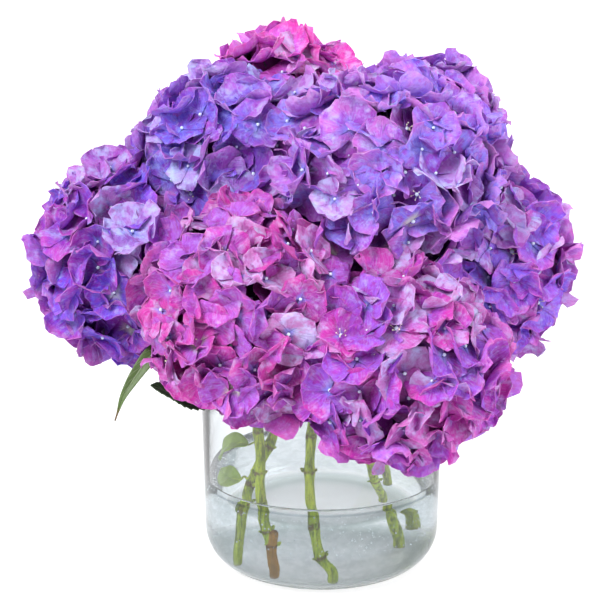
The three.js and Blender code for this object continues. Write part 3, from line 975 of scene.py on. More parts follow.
class FloretBuilder:
    """Collects the parts of one floret into a mesh with its attributes."""

    def __init__(self):
        self.points, self.faces = [], []
        self.places, self.under, self.part, self.rim = [], [], [], []

    def add(self, points, faces, part, places=None, under=None, rim=0):
        """Adds a closed shape, whose last faces are its rim."""
        start = len(self.points)
        self.rim += [i >= len(faces) - rim for i in range(len(faces))]
        self.points += [tuple(p) for p in points]
        self.faces += [tuple(start + i for i in face) for face in faces]
        self.places += [tuple(p) for p in places] if places is not None else [(0.5, 0.0)] * len(points)
        self.under += list(under) if under is not None else [0.0] * len(points)
        self.part += [part] * len(points)

    def object(self, name):
        obj = mesh_from(name, self.points, self.faces)
        mesh = obj.data
        set_attribute(mesh, "part", self.part)
        set_attribute(mesh, "under", self.under)
        set_uv(mesh, "sepal", self.places)
        sharp = {
            tuple(sorted(poly.vertices[k] for k in pair))
            for poly, rim in zip(mesh.polygons, self.rim) if rim
            for pair in ((0, 3), (1, 2))
        }
        for edge in mesh.edges:
            edge.use_edge_sharp = tuple(sorted(edge.vertices)) in sharp
        return obj


def floret(name, seed, sizes, cup, open_heart=False):
    """Four broad overlapping sepals round a bead, on a thin stalk. +Z is the way it faces."""
    rng = np.random.default_rng(seed)
    builder = FloretBuilder()
    for k in range(4):
        grid = sepal(rng, cup + rng.uniform(-0.14, 0.2), sizes.reach)
        angle = k * math.pi / 2 + rng.uniform(-0.16, 0.16)
        cos, sin = math.cos(angle), math.sin(angle)
        x, y = grid[..., 0] * cos - grid[..., 1] * sin, grid[..., 0] * sin + grid[..., 1] * cos
        grid = np.stack([x, y, grid[..., 2] + (0.0005 if k % 2 else -0.0005)], axis=-1)
        points, faces, places, under, rim = shell_of(grid, sizes.thickness)
        builder.add(points, faces, SEPAL, places, under, rim)
    builder.add(*ball((0, 0, 0.0013), 0.0016 if open_heart else 0.00135, 6, 4), BEAD)
    if open_heart:
        for k in range(5):
            angle = k * 2 * math.pi / 5 + 0.3
            tip = (0.0034 * math.cos(angle), 0.0034 * math.sin(angle), 0.0042)
            builder.add(*thin_stalk(tip, (tip[0] * 0.2, tip[1] * 0.2, 0.0), 0.00018, 3), ANTHER)
            builder.add(*ball(tip, 0.0006, 5, 3), ANTHER)
    builder.add(*thin_stalk((0, 0, -0.0004), (0, 0, -0.024), 0.0007), STALK)
    return builder.object(name)


def petal_surface(name, warm, cool):
    """Sepals that drift from pink to blue, with fanning veins, pale edges and a blue heart, painted shade
    where they lie deep in the bouquet, and painted highlights and shade on their crinkles.
    """
    material, graph, shader = surface_of(name)
    spot = graph.spot()
    place = graph.node("ShaderNodeUVMap", {"uv_map": "sepal"})
    across, along, _ = graph.parts(place)
    side = abs(across * 2.0 - 1.0)
    hue = graph.attribute("hue")
    part = graph.attribute("part")
    under = graph.attribute("under")
    deep = graph.attribute("deep")
    drift = graph.noise(spot, 24.0, 1.0)
    patches = graph.noise(spot, 62.0, 2.0)
    fine = graph.noise(spot, 170.0, 3.0)
    tone = (patches + drift) * 0.5 + hue * 0.15 + (along - 0.5) * 0.14 + (fine - 0.5) * 0.3
    streaks = graph.noise(graph.stretch(place, (15.0, 1.6, 1.0)), 1.6, 3.0, 0.6)
    wobble = graph.noise(graph.stretch(place, (3.0, 3.0, 1.0)), 2.0, 1.0)
    lines = graph.maths("PINGPONG", across * 7.0 + wobble * 0.5, 0.5)
    vein = (1.0 - graph.fade(lines, 0.0, 0.11)) * graph.fade(along, 0.02, 0.25) * (1.0 - under * 0.5)
    deeper = (warm[0] * 0.6, warm[1] * 0.06, warm[2] * 0.68)
    light = (0.4 + 0.5 * cool[0], 0.54 + 0.44 * cool[1], 0.94 + 0.06 * cool[2])
    pink = (0.35 + 0.65 * warm[0], 0.2 + 0.8 * warm[1], 0.3 + 0.7 * warm[2])
    # painted shade colours for sepals that lie deep under the bouquet's surface
    shade = (warm[0] * 0.42, warm[1] * 0.03, warm[2] * 0.46)
    hollow_shade = (warm[0] * 0.14, warm[1] * 0.01, warm[2] * 0.17)
    cloud = graph.noise(graph.stretch(spot, (1.0, 1.0, 1.3)), 95.0, 3.0, 0.6)
    bloom = graph.fade(cloud + hue * 0.09, 0.48, 0.73)
    dusk = graph.fade(fine * 0.6 + patches * 0.4, 0.5, 0.4)
    pale_edge = graph.fade(graph.maths("MAXIMUM", side, along), 0.72, 1.0)
    heart = 1.0 - graph.fade(along, 0.03, 0.24)
    young = (1.0 - graph.fade(hue, -0.97, -0.88)) * (1.0 - graph.fade(along, 0.08, 0.34))
    crinkle = graph.noise(spot, 330.0, 2.0)
    bead = graph.fade(part, 0.4, 0.6)
    colour = graph.layers(
        graph.mix(graph.fade(tone, 0.38, 0.62), cool, warm),
        (vein * 0.14, deeper),
        (bloom * 0.54 + graph.fade(hue, 0.3, 1.0) * 0.36, light),
        (dusk * 0.6, deeper),
        (graph.fade(streaks, 0.45, 0.75) * 0.26, light),
        (pale_edge * graph.fade(patches, 0.45, 0.6) * 0.25 + under * 0.3, pink),
        (heart * 0.7, linear("#8593f2")),
        (young * 0.75, linear("#e6e8bd")),
        # painted shade: the deeper a sepal lies under the bouquet's surface, the darker it is painted
        (graph.fade(deep, 0.0, 0.45) * 0.75, shade),
        (graph.fade(deep, 0.35, 1.0), hollow_shade),
        # painted highlights on the crinkles' raised spots, left out where painted shade lies deep, and
        # painted shade in their creases
        (graph.fade(crinkle, 0.56, 0.7) * 0.2 * (1.0 - deep), light),
        (graph.fade(crinkle, 0.44, 0.32) * 0.16, deeper),
        (bead, linear("#dbe7fb")),
        (graph.fade(part, 1.4, 1.6), linear("#6d5a72")),
        (graph.fade(part, 2.4, 2.6), linear("#efe6c4")),
    )
    height = fine * 0.9 - vein * 0.12 + streaks * 0.45 + crinkle * 0.4
    finish_surface(
        graph, shader, Base_Color=colour, Roughness=0.46 + streaks * 0.22, Specular_IOR_Level=0.14,
        Subsurface_Weight=0.2, Subsurface_Radius=(1.0, 0.45, 1.0), Subsurface_Scale=0.003,
        Normal=bump(graph, height * (1.0 - bead), 0.0018, 0.84),
    )
    return material


class BOUQUET_OT_heads(bpy.types.Operator):
    """Covers every flower head with florets on a branched core"""

    bl_idname = "bouquet.heads"
    bl_label = "Flower heads"

    def execute(self, context):
        sizes = context.scene.bouquet_florets
        colours = context.scene.bouquet_heads
        cups = (0.1, 0.16, 0.22, 0.28, 0.34, 0.42, 0.52, 0.66)
        shapes = [floret(f"floret_{k}", 40 + k, sizes, cup) for k, cup in enumerate(cups)]
        shapes.append(floret("floret_open", 70, sizes, 0.2, open_heart=True))
        box = shape_box("floret_shapes", shapes)
        taken = []
        kept_clear = places_kept_clear()
        for name, head in HEADS.items():
            warm, cool = getattr(colours, name + "_warm"), getattr(colours, name + "_cool")
            material = petal_surface(f"{name}_petals", tuple(warm), tuple(cool))
            room = sizes.spacing / MM
            places = floret_places(head, room, taken, FLORET_DEPTH, kept_clear)
            places += floret_places(
                head, room * UNDERLAYER_SPACING, taken, FLORET_DEPTH + UNDERLAYER, kept_clear,
            )
            self.cover(head, places, box, sizes, material)
        empty_box(box)
        return {"FINISHED"}

    def cover(self, head, places, box, sizes, material):
        """Sets florets of random size, depth and hue on their places, and small ones where a table says."""
        if not places:
            raise RuntimeError(f"head {head['name']} has no room for florets")
        rng = np.random.default_rng(head["seed"] + 500)
        sunk = rng.uniform(*FLORET_SUNK, len(places))
        small = ADDED_FLORETS.get(head["name"], [])
        points = [tuple(p - o * d) for (p, o), d in zip(places, sunk)] + [p for p, _, _ in small]
        obj = points_object(
            f"florets_{head['name']}", np.array(points) * MM,
            outward=np.array([tuple(o) for _, o in places] + [o for _, o, _ in small]),
            grow=np.append(rng.uniform(*FLORET_GROWN, len(places)), [grow for _, _, grow in small]),
            hue=rng.uniform(-1, 1, len(points)),
        )
        scattered(obj, box, sizes.tilt, head["seed"], material, OPEN_SHARE)
        points = press_back(coordinates(obj.data) / MM, head, SEAM_OVERLAP)
        # how deep each point lies under the bouquet's surface, which the sepals' colour turns into painted
        # shade
        deep = np.clip((-out_of_bouquet(points) - SHADE_DEPTH) / SHADE_SPAN, 0, 1)
        set_attribute(obj.data, "deep", deep)
        obj.data.vertices.foreach_set("co", (points * MM).ravel())
        obj.data.update()
        dressed(obj, f"head_{head['name']}")
        self.branches(head)

    def branches(self, head):
        """A knobbly core, painted near black as shade, and the branches that carry the florets."""
        rng = np.random.default_rng(head["seed"] + 900)
        directions, faces = ball((0, 0, 0), 1.0, 28, 18)
        points, _ = cast_out(head, directions, CORE_DEPTH)
        away = points - np.array(head["centre"])
        waves = np.sin(away * (0.21, 0.19, 0.24) + (head["seed"], 0, 0))
        lumps = 1 + 0.04 * waves[:, 0] * waves[:, 1] + 0.04 * waves[:, 2]
        points = press_back(away * lumps[:, None] + np.array(head["centre"]), head)
        obj = show(mesh_from(f"core_{head['name']}", points * MM, faces))
        obj.data.materials.append(core_surface())
        dressed(obj, f"head_{head['name']}")
        lines = []
        turn = Vector((0, 0, 1)).rotation_difference(head["axis"])
        for k in range(BRANCHES):
            angle = k * 2 * math.pi / BRANCHES + rng.uniform(-0.2, 0.2)
            lift = rng.uniform(-0.5, 0.35)
            flat = math.sqrt(1 - lift**2)
            away = turn @ Vector((flat * math.cos(angle), flat * math.sin(angle), lift))
            end = head["centre"] + away * head["core"] * 1.12
            middle = head["joint"] + (end - head["joint"]) * 0.4 - head["axis"] * 2
            line = smooth_curve([head["joint"] + head["axis"] * 2, middle, end], BRANCH_POINTS)
            line = press_back(line, head)
            lines.append(plain_line(line, np.linspace(1.7, 1.0, BRANCH_POINTS)))
        rise = np.linspace(0, 12, 8)
        base = np.array([tuple(head["joint"] + head["axis"] * t) for t in rise])
        lines.append(plain_line(base, np.interp(rise, [0, 2, 8, 12], [3.4, 4.6, 4.8, 3.0])))
        obj = path_object(f"branches_{head['name']}", lines)
        grown(obj, sweep_tree(), Sides=8, Material=stem_surface())
        dressed(obj, f"head_{head['name']}")


def core_surface():
    """Dark tangle deep in a head, painted near black as the shade inside it."""
    kept = bpy.data.materials.get("head_core")
    if kept:
        return kept
    material, graph, shader = surface_of("head_core")
    spot = graph.spot()
    speckle = graph.noise(spot, 260.0, 4.0, 0.7)
    # painted shade: the core is near black so that the gaps between florets read as shadow
    colour = graph.mix(graph.fade(speckle, 0.35, 0.7), linear("#1d0a22"), linear("#431652"))
    finish_surface(graph, shader, Base_Color=colour, Roughness=0.9, Normal=bump(graph, speckle, 0.002, 0.8))
    return material


# Stems


def glass_floor(radius):
    """Height of the glass inside the vase at a distance from its axis, in millimetres."""
    out = max(radius - FLOOR_FLAT, 0)
    return FLOOR_HEIGHT + FLOOR_CORNER - math.sqrt(max(FLOOR_CORNER**2 - out**2, 0))


def tube_path(tube, count):
    """Even points along a stem tube, from its foot or fork to its head's joint, in millimetres."""
    points = list(tube["points"])
    if "foot" in tube:
        x, y = tube["foot"]
        low = glass_floor(math.hypot(x, y) + tube["radius"]) + 0.6
        points = [(x, y, low), (x, y, low + 6), *points]
    if tube["to"]:
        head = HEADS[tube["to"]]
        points += [tuple(head["joint"] - head["axis"] * 12), tuple(head["joint"] - head["axis"] * 0.3)]
    return smooth_curve(points, count)


def stem_surface():
    """Fresh green skin with fine pores and light and dark streaks, partly its own striation and partly
    painted highlights and shade, brown at the nodes, and bark on old wood.
    """
    kept = bpy.data.materials.get("stem_skin")
    if kept:
        return kept
    green = tuple(bpy.context.scene.bouquet_greens.stem)
    wood = tuple(bpy.context.scene.bouquet_greens.wood)
    material, graph, shader = surface_of("stem_skin")
    spot = graph.spot()
    knot = graph.attribute("knot")
    old = graph.attribute("wood")
    streaks = graph.noise(graph.stretch(spot, (1.0, 1.0, 0.08)), 480.0, 3.0, 0.6)
    patches = graph.noise(spot, 60.0, 2.0)
    pores = graph.noise(spot, 900.0, 1.0)
    mottle = graph.noise(graph.stretch(spot, (1.0, 1.0, 0.22)), 260.0, 3.0, 0.6)
    scars = graph.noise(spot, 230.0, 3.0, 0.6)
    rust = graph.fade(knot * 0.75 + (scars - 0.5) * 1.5, 0.42, 0.78)
    bark = graph.mix(graph.fade(streaks, 0.3, 0.7), scaled(wood, 0.5), wood)
    bark = graph.mix(graph.fade(patches, 0.55, 0.75) * 0.6, bark, linear("#bfa87c"))
    colour = graph.layers(
        graph.mix(graph.fade(patches * 0.3 + mottle * 0.7, 0.38, 0.58), scaled(green, 0.36), green),
        # light and dark streaks: partly the skin's own striation, partly painted highlights and shade along
        # the stem
        (graph.fade(streaks, 0.46, 0.62) * 0.75, scaled(green, 1.6, 0.03)),
        (graph.fade(streaks, 0.43, 0.34) * 0.42, scaled(green, 0.3)),
        (graph.fade(pores, 0.62, 0.7) * 0.6, linear("#6f6a35")),
        (old, bark),
        (rust * 0.8, linear("#74532f")),
    )
    finish_surface(
        graph, shader, Base_Color=colour, Roughness=0.4 + old * 0.35 + rust * 0.2, Specular_IOR_Level=0.4,
        Normal=bump(graph, streaks * (0.5 + old) + pores * 0.3 + knot * scars * 1.4, 0.001, 0.7),
    )
    return material


def bud(name):
    """A small bud, broad at its foot and narrow at its tip."""
    points, faces = ball((0, 0, 0.5), 0.5, 6, 5)
    points[:, :2] *= (0.62 - 0.3 * np.clip(points[:, 2], 0, 1))[:, None] * 1.6
    return mesh_from(name, points, faces)


class BOUQUET_OT_stems(bpy.types.Operator):
    """Grows the five forked stems with their nodes and buds"""

    bl_idname = "bouquet.stems"
    bl_label = "Stems"

    def execute(self, context):
        box = shape_box("bud_shapes", [bud("bud_a"), bud("bud_b")])
        for name, tubes in STEMS.items():
            obj = path_object(f"skin_{name}", [self.line(tube) for tube in tubes])
            grown(obj, sweep_tree(), Sides=14, Material=stem_surface())
            dressed(obj, name)
            self.buds(name, tubes, box)
        empty_box(box)
        return {"FINISHED"}

    def line(self, tube):
        """A tube's path with its thickness, how near each point is to a node or cut, and old wood."""
        path = tube_path(tube, STEM_STATIONS if tube["to"] else STUMP_STATIONS)
        thick = np.full(len(path), float(tube["radius"]))
        knot = np.zeros(len(path))
        gone = np.concatenate([[0], np.cumsum(np.linalg.norm(np.diff(path, axis=0), axis=1))])
        for height in tube["knots"]:
            at = gone[int(np.argmin(np.abs(path[:, 2] - height)))]
            knot = np.maximum(knot, np.exp(-(((gone - at) / SCAR_LENGTH) ** 2)))
            thick += np.exp(-(((gone - at) / NODE_LENGTH) ** 2)) * NODE_SWELL
        thick *= 1 + 0.05 * np.sin(gone * 0.31 + path[0, 0])
        if "foot" in tube:
            knot = np.maximum(knot, np.exp(-gone / 1.2) * 0.9)
            thick[0] *= 0.93
        if not tube["to"]:
            thick[-3:] *= (0.98, 0.9, 0.72)
            knot = np.maximum(knot, np.exp(-(gone[-1] - gone) / 2.0))
        wood = np.full(len(path), tube.get("wood", 0.0))
        return path * MM, {"thick": thick * MM, "knot": knot, "wood": wood}

    def buds(self, name, tubes, box):
        """Two buds at each node, turned a quarter from those of the node before."""
        places, ways, sizes = [], [], []
        for tube in tubes:
            path = tube_path(tube, STEM_STATIONS)
            for index, height in enumerate(tube["knots"]):
                at = int(np.argmin(np.abs(path[:, 2] - height)))
                along = Vector(path[min(at + 1, STEM_STATIONS - 1)] - path[max(at - 1, 0)]).normalized()
                side = along.cross(Vector((0, -1, 0))).normalized()
                side.rotate(Quaternion(along, index * math.pi / 2 + (0.35 if index % 2 else 0.1)))
                for way in (1, -1):
                    out = side * way
                    places.append(tuple(Vector(path[at]) + out * (tube["radius"] + 0.3) * 0.9))
                    ways.append(tuple((out + along * 0.9).normalized()))
                    sizes.append(LARGE_BUD if index % 2 != (way > 0) else SMALL_BUD)
        count = len(places)
        obj = points_object(
            f"buds_{name}", np.array(places) * MM, outward=np.array(ways),
            grow=np.array(sizes) * MM, knot=np.full(count, 0.62), wood=np.zeros(count),
        )
        scattered(obj, box, 0.15, 3, stem_surface())
        dressed(obj, name)


# Leaves


def leaf_surface(name, colour, under, dry_tip):
    """Leaf skin with a paler midrib, side veins and a matt underside. A tip may be dry and brown."""
    material, graph, shader = surface_of(name)
    spot = graph.spot()
    place = graph.node("ShaderNodeUVMap", {"uv_map": "leaf"})
    across, along, _ = graph.parts(place)
    side = abs(across * 2.0 - 1.0)
    below = graph.attribute("under")
    patches = graph.noise(spot, 70.0, 3.0)
    cells = graph.noise(spot, 520.0, 2.0)
    veins = graph.maths("PINGPONG", (along - side * 0.16) * 9.0 + (patches - 0.5) * 0.35, 0.5)
    vein = 1.0 - graph.fade(veins, 0.0, 0.07)
    rib = 1.0 - graph.fade(side, 0.03, 0.09)
    relief = graph.maths("MAXIMUM", vein * 0.8, rib)
    base = graph.layers(
        graph.mix(graph.fade(patches, 0.3, 0.7), scaled(colour, 0.7), colour),
        (graph.fade(cells, 0.5, 0.8) * 0.3, scaled(colour, 1.5)),
        (relief * 0.6, under),
        (below * 0.65, under),
    )
    if dry_tip:
        base = graph.mix(graph.fade(along + (patches - 0.5) * 0.2, 0.86, 0.97), base, linear("#6e5334"))
    finish_surface(
        graph, shader, Base_Color=base, Roughness=0.38 + below * 0.25 + cells * 0.1, Specular_IOR_Level=0.4,
        Normal=bump(graph, cells * 0.3 - relief, 0.0008, 0.6),
    )
    return material


def leaf_grid(leaf, stations, columns):
    """Middle surface of a leaf in millimetres, along its midrib and across its width."""
    rib = smooth_curve(leaf["rib"], stations)
    rows = []
    for i, point in enumerate(rib):
        t = i / (stations - 1)
        along = Vector(rib[min(i + 1, stations - 1)] - rib[max(i - 1, 0)]).normalized()
        level = along.cross(Vector((0, 0, 1))).normalized()
        first, last = leaf["roll"]
        level.rotate(Quaternion(along, math.radians(first + (last - first) * t)))
        out = level.cross(along).normalized()
        swell = t ** (math.log(0.5) / math.log(leaf["widest"]))
        half = leaf["width"] * 0.5 * math.sin(math.pi * min(0.04 + 0.96 * swell, 1)) ** leaf["taper"]
        tooth = 1.0
        if leaf["teeth"]:
            tooth = 1 + TOOTH_DEPTH * (1 - (t * leaf["teeth"]) % 1) - TOOTH_INSET
        half = max(half * tooth, 0.5)
        row = []
        for u in np.linspace(-1, 1, columns):
            lift = abs(u) * half * leaf["fold"] * 1.5 + 0.05 * half * math.sin(t * 19 + u * 2)
            lift -= 0.35 * math.exp(-((u / 0.1) ** 2))
            row.append(tuple(Vector(point) + level * u * half + out * lift))
        rows.append(row)
    return np.array(rows)


class BOUQUET_OT_leaves(bpy.types.Operator):
    """Makes the leaves and their stalks"""

    bl_idname = "bouquet.leaves"
    bl_label = "Leaves"

    def execute(self, context):
        greens = context.scene.bouquet_greens
        looks = {
            "leaf_sage": (greens.sage, linear("#a9b596"), True),
            "leaf_dark": (greens.dark, linear("#5f7350"), False),
            "leaf_pale": (greens.pale, linear("#aad04c"), False),
            "leaf_low": (greens.pale, linear("#aad04c"), False),
            "leaf_back_right": (greens.dark, linear("#7e9168"), False),
            "leaf_back_left": (greens.dark, linear("#7e9168"), False),
        }
        for name, leaf in LEAVES.items():
            colour, under, dry = looks[name]
            grid = leaf_grid(leaf, 85 if leaf["teeth"] else 33, 11) * MM
            points, faces, places, below, _ = shell_of(grid, LEAF_THICKNESS * MM)
            obj = show(mesh_from(f"blade_{name}", points, faces))
            set_attribute(obj.data, "under", below)
            set_uv(obj.data, "leaf", places)
            face_out(obj.data)
            obj.data.materials.append(leaf_surface(f"{name}_blade", tuple(colour), under, dry))
            dressed(obj, name)
            self.stalk(name, leaf)
        return {"FINISHED"}

    def stalk(self, name, leaf):
        """A leaf's stalk, from its stem into its midrib."""
        stem, index, height = leaf["root"]
        tube = STEMS[stem][index]
        path = tube_path(tube, 200)
        at = int(np.argmax(path[:, 2] >= height))
        along = Vector(path[at + 1] - path[at - 1]).normalized()
        away = Vector(leaf["rib"][0]) - Vector(path[at])
        away = (away - along * away.dot(along)).normalized()
        start = Vector(path[at]) + away * (tube["radius"] + 0.2)
        bend = Vector(path[at]) + away * (tube["radius"] + 5)
        rib = smooth_curve(leaf["rib"], 40)
        line = smooth_curve([start, bend, leaf["rib"][0], rib[6], rib[14]], 40)
        thin = 0.55 if leaf["width"] < 20 else 1.0
        thick = np.interp(np.linspace(0, 1, 40), [0, 0.1, 0.6, 1], [2.3, 1.6, 1.1, 0.3]) * thin
        obj = path_object(f"stalk_{name}", [plain_line(line, thick)])
        grown(obj, sweep_tree(), Sides=10, Material=stem_surface())
        dressed(obj, name)


# Vase and water


def turned_object(name, profile, sides):
    """A turned shape as an object whose faces look outward."""
    obj = show(mesh_from(name, *turned(profile, sides)))
    face_out(obj.data)
    return obj


def arc(centre_r, centre_z, radius, start, end, steps):
    """An arc of a profile, from one angle to another in degrees."""
    angles = np.radians(np.linspace(start, end, steps + 1))
    return [(centre_r + radius * math.cos(a), centre_z + radius * math.sin(a)) for a in angles]


def flared(size, profile):
    """A profile widened towards the rim, from the bottom corner up."""
    slope = size.flare / (size.height - size.corner)
    return [(r + slope * max(z - size.corner, 0) * min(r / size.radius, 1), z) for r, z in profile]


def glass_surface():
    """Clear glass with slight waves and smears, a rough underside and painted shade darkening its bottom
    corner all round.
    """
    material, graph, shader = surface_of("clear_glass")
    spot = graph.spot()
    waves = graph.noise(graph.stretch(spot, (1.0, 1.0, 0.5)), 16.0, 1.0)
    smears = graph.fade(graph.noise(spot, 45.0, 4.0, 0.6), 0.45, 0.8)
    height = graph.parts(spot)[2]
    foot = 1.0 - graph.fade(height, 0.006, 0.0085)
    flat = graph.stretch(spot, (1.0, 1.0, 0.0))
    around = graph.node("ShaderNodeVectorMath", {"operation": "LENGTH"}, {0: flat}, "Value")
    # painted shade: a dark band round the glass's bottom corner
    shade_ring = graph.fade(around, 0.053, 0.06) * (1.0 - graph.fade(height, 0.003, 0.0075))
    tint = graph.mix(foot, (0.88, 0.905, 0.92), (1.0, 1.0, 1.0))
    finish_surface(
        graph, shader, Base_Color=graph.mix(shade_ring, tint, (0.42, 0.52, 0.5)),
        Roughness=smears * 0.015 + foot * 0.4, Transmission_Weight=1.0, IOR=1.5,
        Normal=bump(graph, waves, 0.0015, 0.12),
    )
    return material


def water_surface(level):
    """Clear water with slow ripples, a slightly cloudy side and painted shade as a dark line under its
    surface.
    """
    material, graph, shader = surface_of("water")
    spot = graph.spot()
    ripples = graph.noise(spot, 22.0, 2.0)
    height = graph.parts(spot)[2]
    grain = graph.fade(graph.noise(spot, 420.0, 2.0), 0.55, 0.75) * (1.0 - graph.fade(height, 0.05, 0.06))
    foot = 1.0 - graph.fade(height, 0.0065, 0.012)
    cloud = graph.noise(graph.stretch(spot, (1.0, 1.0, 1.6)), 120.0, 4.0, 0.7)
    tint = graph.mix(graph.fade(cloud, 0.36, 0.66), (0.58, 0.645, 0.66), (0.76, 0.8, 0.815))
    # painted shade: a dark band just under the water's surface
    line = graph.fade(height, level - 0.003, level - 0.0022)
    line = line * (1.0 - graph.fade(height, level - 0.0014, level - 0.0006))
    tint = graph.mix(line, tint, (0.36, 0.43, 0.47))
    side = graph.fade(height, 0.007, 0.014) * (1.0 - graph.fade(height, level - 0.0004, level - 0.0001))
    finish_surface(
        graph, shader, Base_Color=graph.mix(side, (0.98, 0.99, 1.0), tint),
        Roughness=ripples * 0.01 + foot * 0.35, Transmission_Weight=1.0, IOR=1.17,
        Normal=bump(graph, ripples + grain * 0.25, 0.001, 0.12),
    )
    return material


class BOUQUET_OT_vase(bpy.types.Operator):
    """Turns the glass cylinder with its rounded bottom corner and rim"""

    bl_idname = "bouquet.vase"
    bl_label = "Vase"

    def execute(self, context):
        size = context.scene.bouquet_vase
        lip = size.wall / 2
        middle = size.radius - size.corner
        inner = size.radius - size.wall - middle
        profile = [
            (0, 0.0012), (middle * 0.7, 0.001), (middle * 0.86, 0.0002), (middle * 0.93, 0),
            *arc(middle, size.corner, size.corner, -90, 0, 16),
            *[(size.radius, z) for z in np.linspace(size.corner, size.height - lip, 8)[1:-1]],
            *arc(size.radius - lip, size.height - lip, lip, 0, 180, 10),
            *arc(middle, size.base + inner, inner, 0, -90, 16),
            (middle * 0.5, size.base), (0, size.base),
        ]
        obj = turned_object("glass_vase", flared(size, profile), TURNED_SIDES)
        obj.data.materials.append(glass_surface())
        dressed(obj, "vase")
        return {"FINISHED"}


class BOUQUET_OT_water(bpy.types.Operator):
    """Fills the vase with water and sets bubbles on its side"""

    bl_idname = "bouquet.water"
    bl_label = "Water"

    def execute(self, context):
        size = context.scene.bouquet_vase
        middle = size.radius - size.corner
        inner = size.radius - size.wall - middle
        overlap = 0.00015
        edge = size.radius - size.wall + overlap
        creep = 0.0034  # how far the water climbs the glass
        fall = 0.0011  # within this distance from it most of that is gone
        profile = [
            (0, size.base - overlap), (middle * 0.5, size.base - overlap),
            *arc(middle, size.base + inner, inner + overlap, -90, 0, 16),
            (edge, size.level - 0.01), (edge, size.level + creep),
            *[(edge - t, size.level + creep * math.exp(-t / fall)) for t in np.linspace(0.0003, 0.006, 10)],
            (edge * 0.6, size.level), (edge * 0.3, size.level), (0, size.level),
        ]
        obj = turned_object("water_body", flared(size, profile), TURNED_SIDES)
        obj.data.materials.append(water_surface(size.level))
        dressed(obj, "water")
        self.bubbles(size, edge)
        return {"FINISHED"}

    def bubbles(self, size, edge):
        """Small bubbles at random places just inside the water's side."""
        if size.bubbles == 0:
            return
        rng = np.random.default_rng(5)
        angle = rng.uniform(0, 2 * math.pi, size.bubbles)
        angle += 0.25 * np.sin(rng.uniform(0, 40, size.bubbles))
        low = size.corner * 1.12
        height = low + (size.level - 0.003 - low) * rng.uniform(0, 1, size.bubbles)
        radius = edge - 0.0013
        places = np.stack([radius * np.cos(angle), radius * np.sin(angle), height], axis=1)
        ways = np.stack([np.cos(angle), np.sin(angle), np.zeros(size.bubbles)], axis=1)
        shapes = [mesh_from(f"bubble_{k}", *ball((0, 0, 0), 1, 7, 5)) for k in "ab"]
        box = shape_box("bubble_shapes", shapes)
        grow = (0.22 + 0.5 * rng.uniform(0, 1, size.bubbles) ** 5) * MM
        obj = points_object("water_bubbles", places, outward=ways, grow=grow)
        scattered(obj, box, 0.1, 1, bubble_surface())
        empty_box(box)
        dressed(obj, "water")


def bubble_surface():
    """Air in water: small pale beads with a faint painted glow."""
    material, graph, shader = surface_of("bubble")
    spot = graph.spot()
    # the emission is a painted glow that keeps the bubbles bright
    finish_surface(
        graph, shader, Base_Color=(0.95, 0.97, 1, 1), Roughness=0.2 + graph.noise(spot, 300.0) * 0.1,
        Transmission_Weight=0.3, IOR=1.3, Emission_Color=(0.9, 0.95, 1, 1), Emission_Strength=0.3,
    )
    return material


# Stage


def aimed(obj, place, target):
    """Sets a light or camera at a place, facing a target."""
    obj.location = place
    obj.rotation_euler = (Vector(target) - obj.location).to_track_quat("-Z", "Y").to_euler()
    return obj


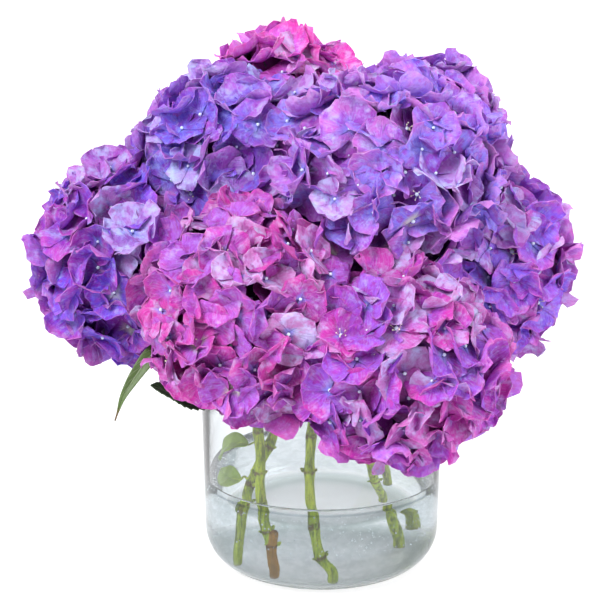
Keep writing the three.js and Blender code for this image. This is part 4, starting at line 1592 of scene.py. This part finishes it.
class BOUQUET_OT_stage(bpy.types.Operator):
    """Sets the floor, the light and the camera"""

    bl_idname = "bouquet.stage"
    bl_label = "Stage"

    def execute(self, context):
        look = context.scene.bouquet_stage
        self.floor(look)
        self.surround(context, look)
        for name, (place, size, share) in LIGHTS.items():
            self.light(name, place, size, look.key * share)
        self.camera(context)
        return {"FINISHED"}

    def floor(self, look):
        rings = [0, 0.3, 1, 4, 14]
        top, bottom = -0.0002, -0.01
        profile = [*[(r, top) for r in rings], *[(r, bottom) for r in reversed(rings)]]
        obj = turned_object("floor", profile, 64)
        material, graph, shader = surface_of("pale_floor")
        spot = graph.spot()
        grain = graph.noise(spot, 60.0, 4.0)
        tone = tuple(look.floor)
        colour = graph.mix(grain * 0.3, tone, scaled(tone, 0.985))
        finish_surface(
            graph, shader, Base_Color=colour, Roughness=0.7, Specular_IOR_Level=0.2,
            Emission_Color=(1, 1, 1, 1), Emission_Strength=look.glow,
        )
        obj.data.materials.append(material)

    def surround(self, context, look):
        world = bpy.data.worlds.new("surround")
        world.use_nodes = True
        graph = Graph(world.node_tree)
        _, back, up = graph.parts(graph.node("ShaderNodeTexCoord", {}, {}, "Generated"))
        strength = (0.7 + back * 0.35) * (1.0 - graph.fade(up, 0.2, 0.9) * 0.2) * look.sky
        background = world.node_tree.nodes["Background"]
        background.inputs["Color"].default_value = (1, 1, 1, 1)
        world.node_tree.links.new(strength.socket, background.inputs["Strength"])
        context.scene.world = world
        context.scene.view_settings.view_transform = "Standard"
        context.scene.cycles.max_bounces = GLASS_BOUNCES
        context.scene.cycles.glossy_bounces = GLASS_BOUNCES
        context.scene.cycles.transmission_bounces = GLASS_BOUNCES

    def light(self, name, place, size, power):
        data = bpy.data.lights.new(name, "AREA")
        data.shape = "DISK"
        data.size = size
        data.energy = power
        aimed(show(bpy.data.objects.new(name, data)), place, LIGHTS_AIM)

    def camera(self, context):
        data = bpy.data.cameras.new("photo_view")
        data.sensor_width = 36
        data.lens = data.sensor_width / 2 / math.tan(CAMERA_FIELD / 2)
        data.clip_end = 100
        obj = show(bpy.data.objects.new("photo_view", data))
        context.scene.camera = aimed(obj, CAMERA_PLACE, CAMERA_AIM)


class BOUQUET_PT_panel(bpy.types.Panel):
    """Lists the sizes, colours and steps"""

    bl_label = "Hydrangeas"
    bl_idname = "BOUQUET_PT_panel"
    bl_space_type = "VIEW_3D"
    bl_region_type = "UI"
    bl_category = "Hydrangeas"

    def draw(self, context):
        for group in GROUPS:
            settings = getattr(context.scene, group)
            for key in settings.bl_rna.properties.keys():
                if key not in {"rna_type", "name"}:
                    self.layout.prop(settings, key)
        for step in STEPS:
            self.layout.operator(step.bl_idname)


GROUPS = {
    "bouquet_florets": FloretSizes,
    "bouquet_heads": HeadColours,
    "bouquet_greens": GreenColours,
    "bouquet_vase": VaseSizes,
    "bouquet_stage": StageLook,
}
STEPS = (
    BOUQUET_OT_stage, BOUQUET_OT_vase, BOUQUET_OT_water,
    BOUQUET_OT_stems, BOUQUET_OT_leaves, BOUQUET_OT_heads,
)
CLASSES = (*GROUPS.values(), *STEPS, BOUQUET_PT_panel)


def register():
    prepare_heads()
    for item in CLASSES:
        bpy.utils.register_class(item)
    for name, group in GROUPS.items():
        setattr(bpy.types.Scene, name, bpy.props.PointerProperty(type=group))


def unregister():
    for name in GROUPS:
        delattr(bpy.types.Scene, name)
    for item in reversed(CLASSES):
        bpy.utils.unregister_class(item)


def main():
    register()
    bpy.ops.bouquet.stage()
    bpy.ops.bouquet.vase()
    bpy.ops.bouquet.water()
    bpy.ops.bouquet.stems()
    bpy.ops.bouquet.leaves()
    bpy.ops.bouquet.heads()


if __name__ == "__main__":
    main()
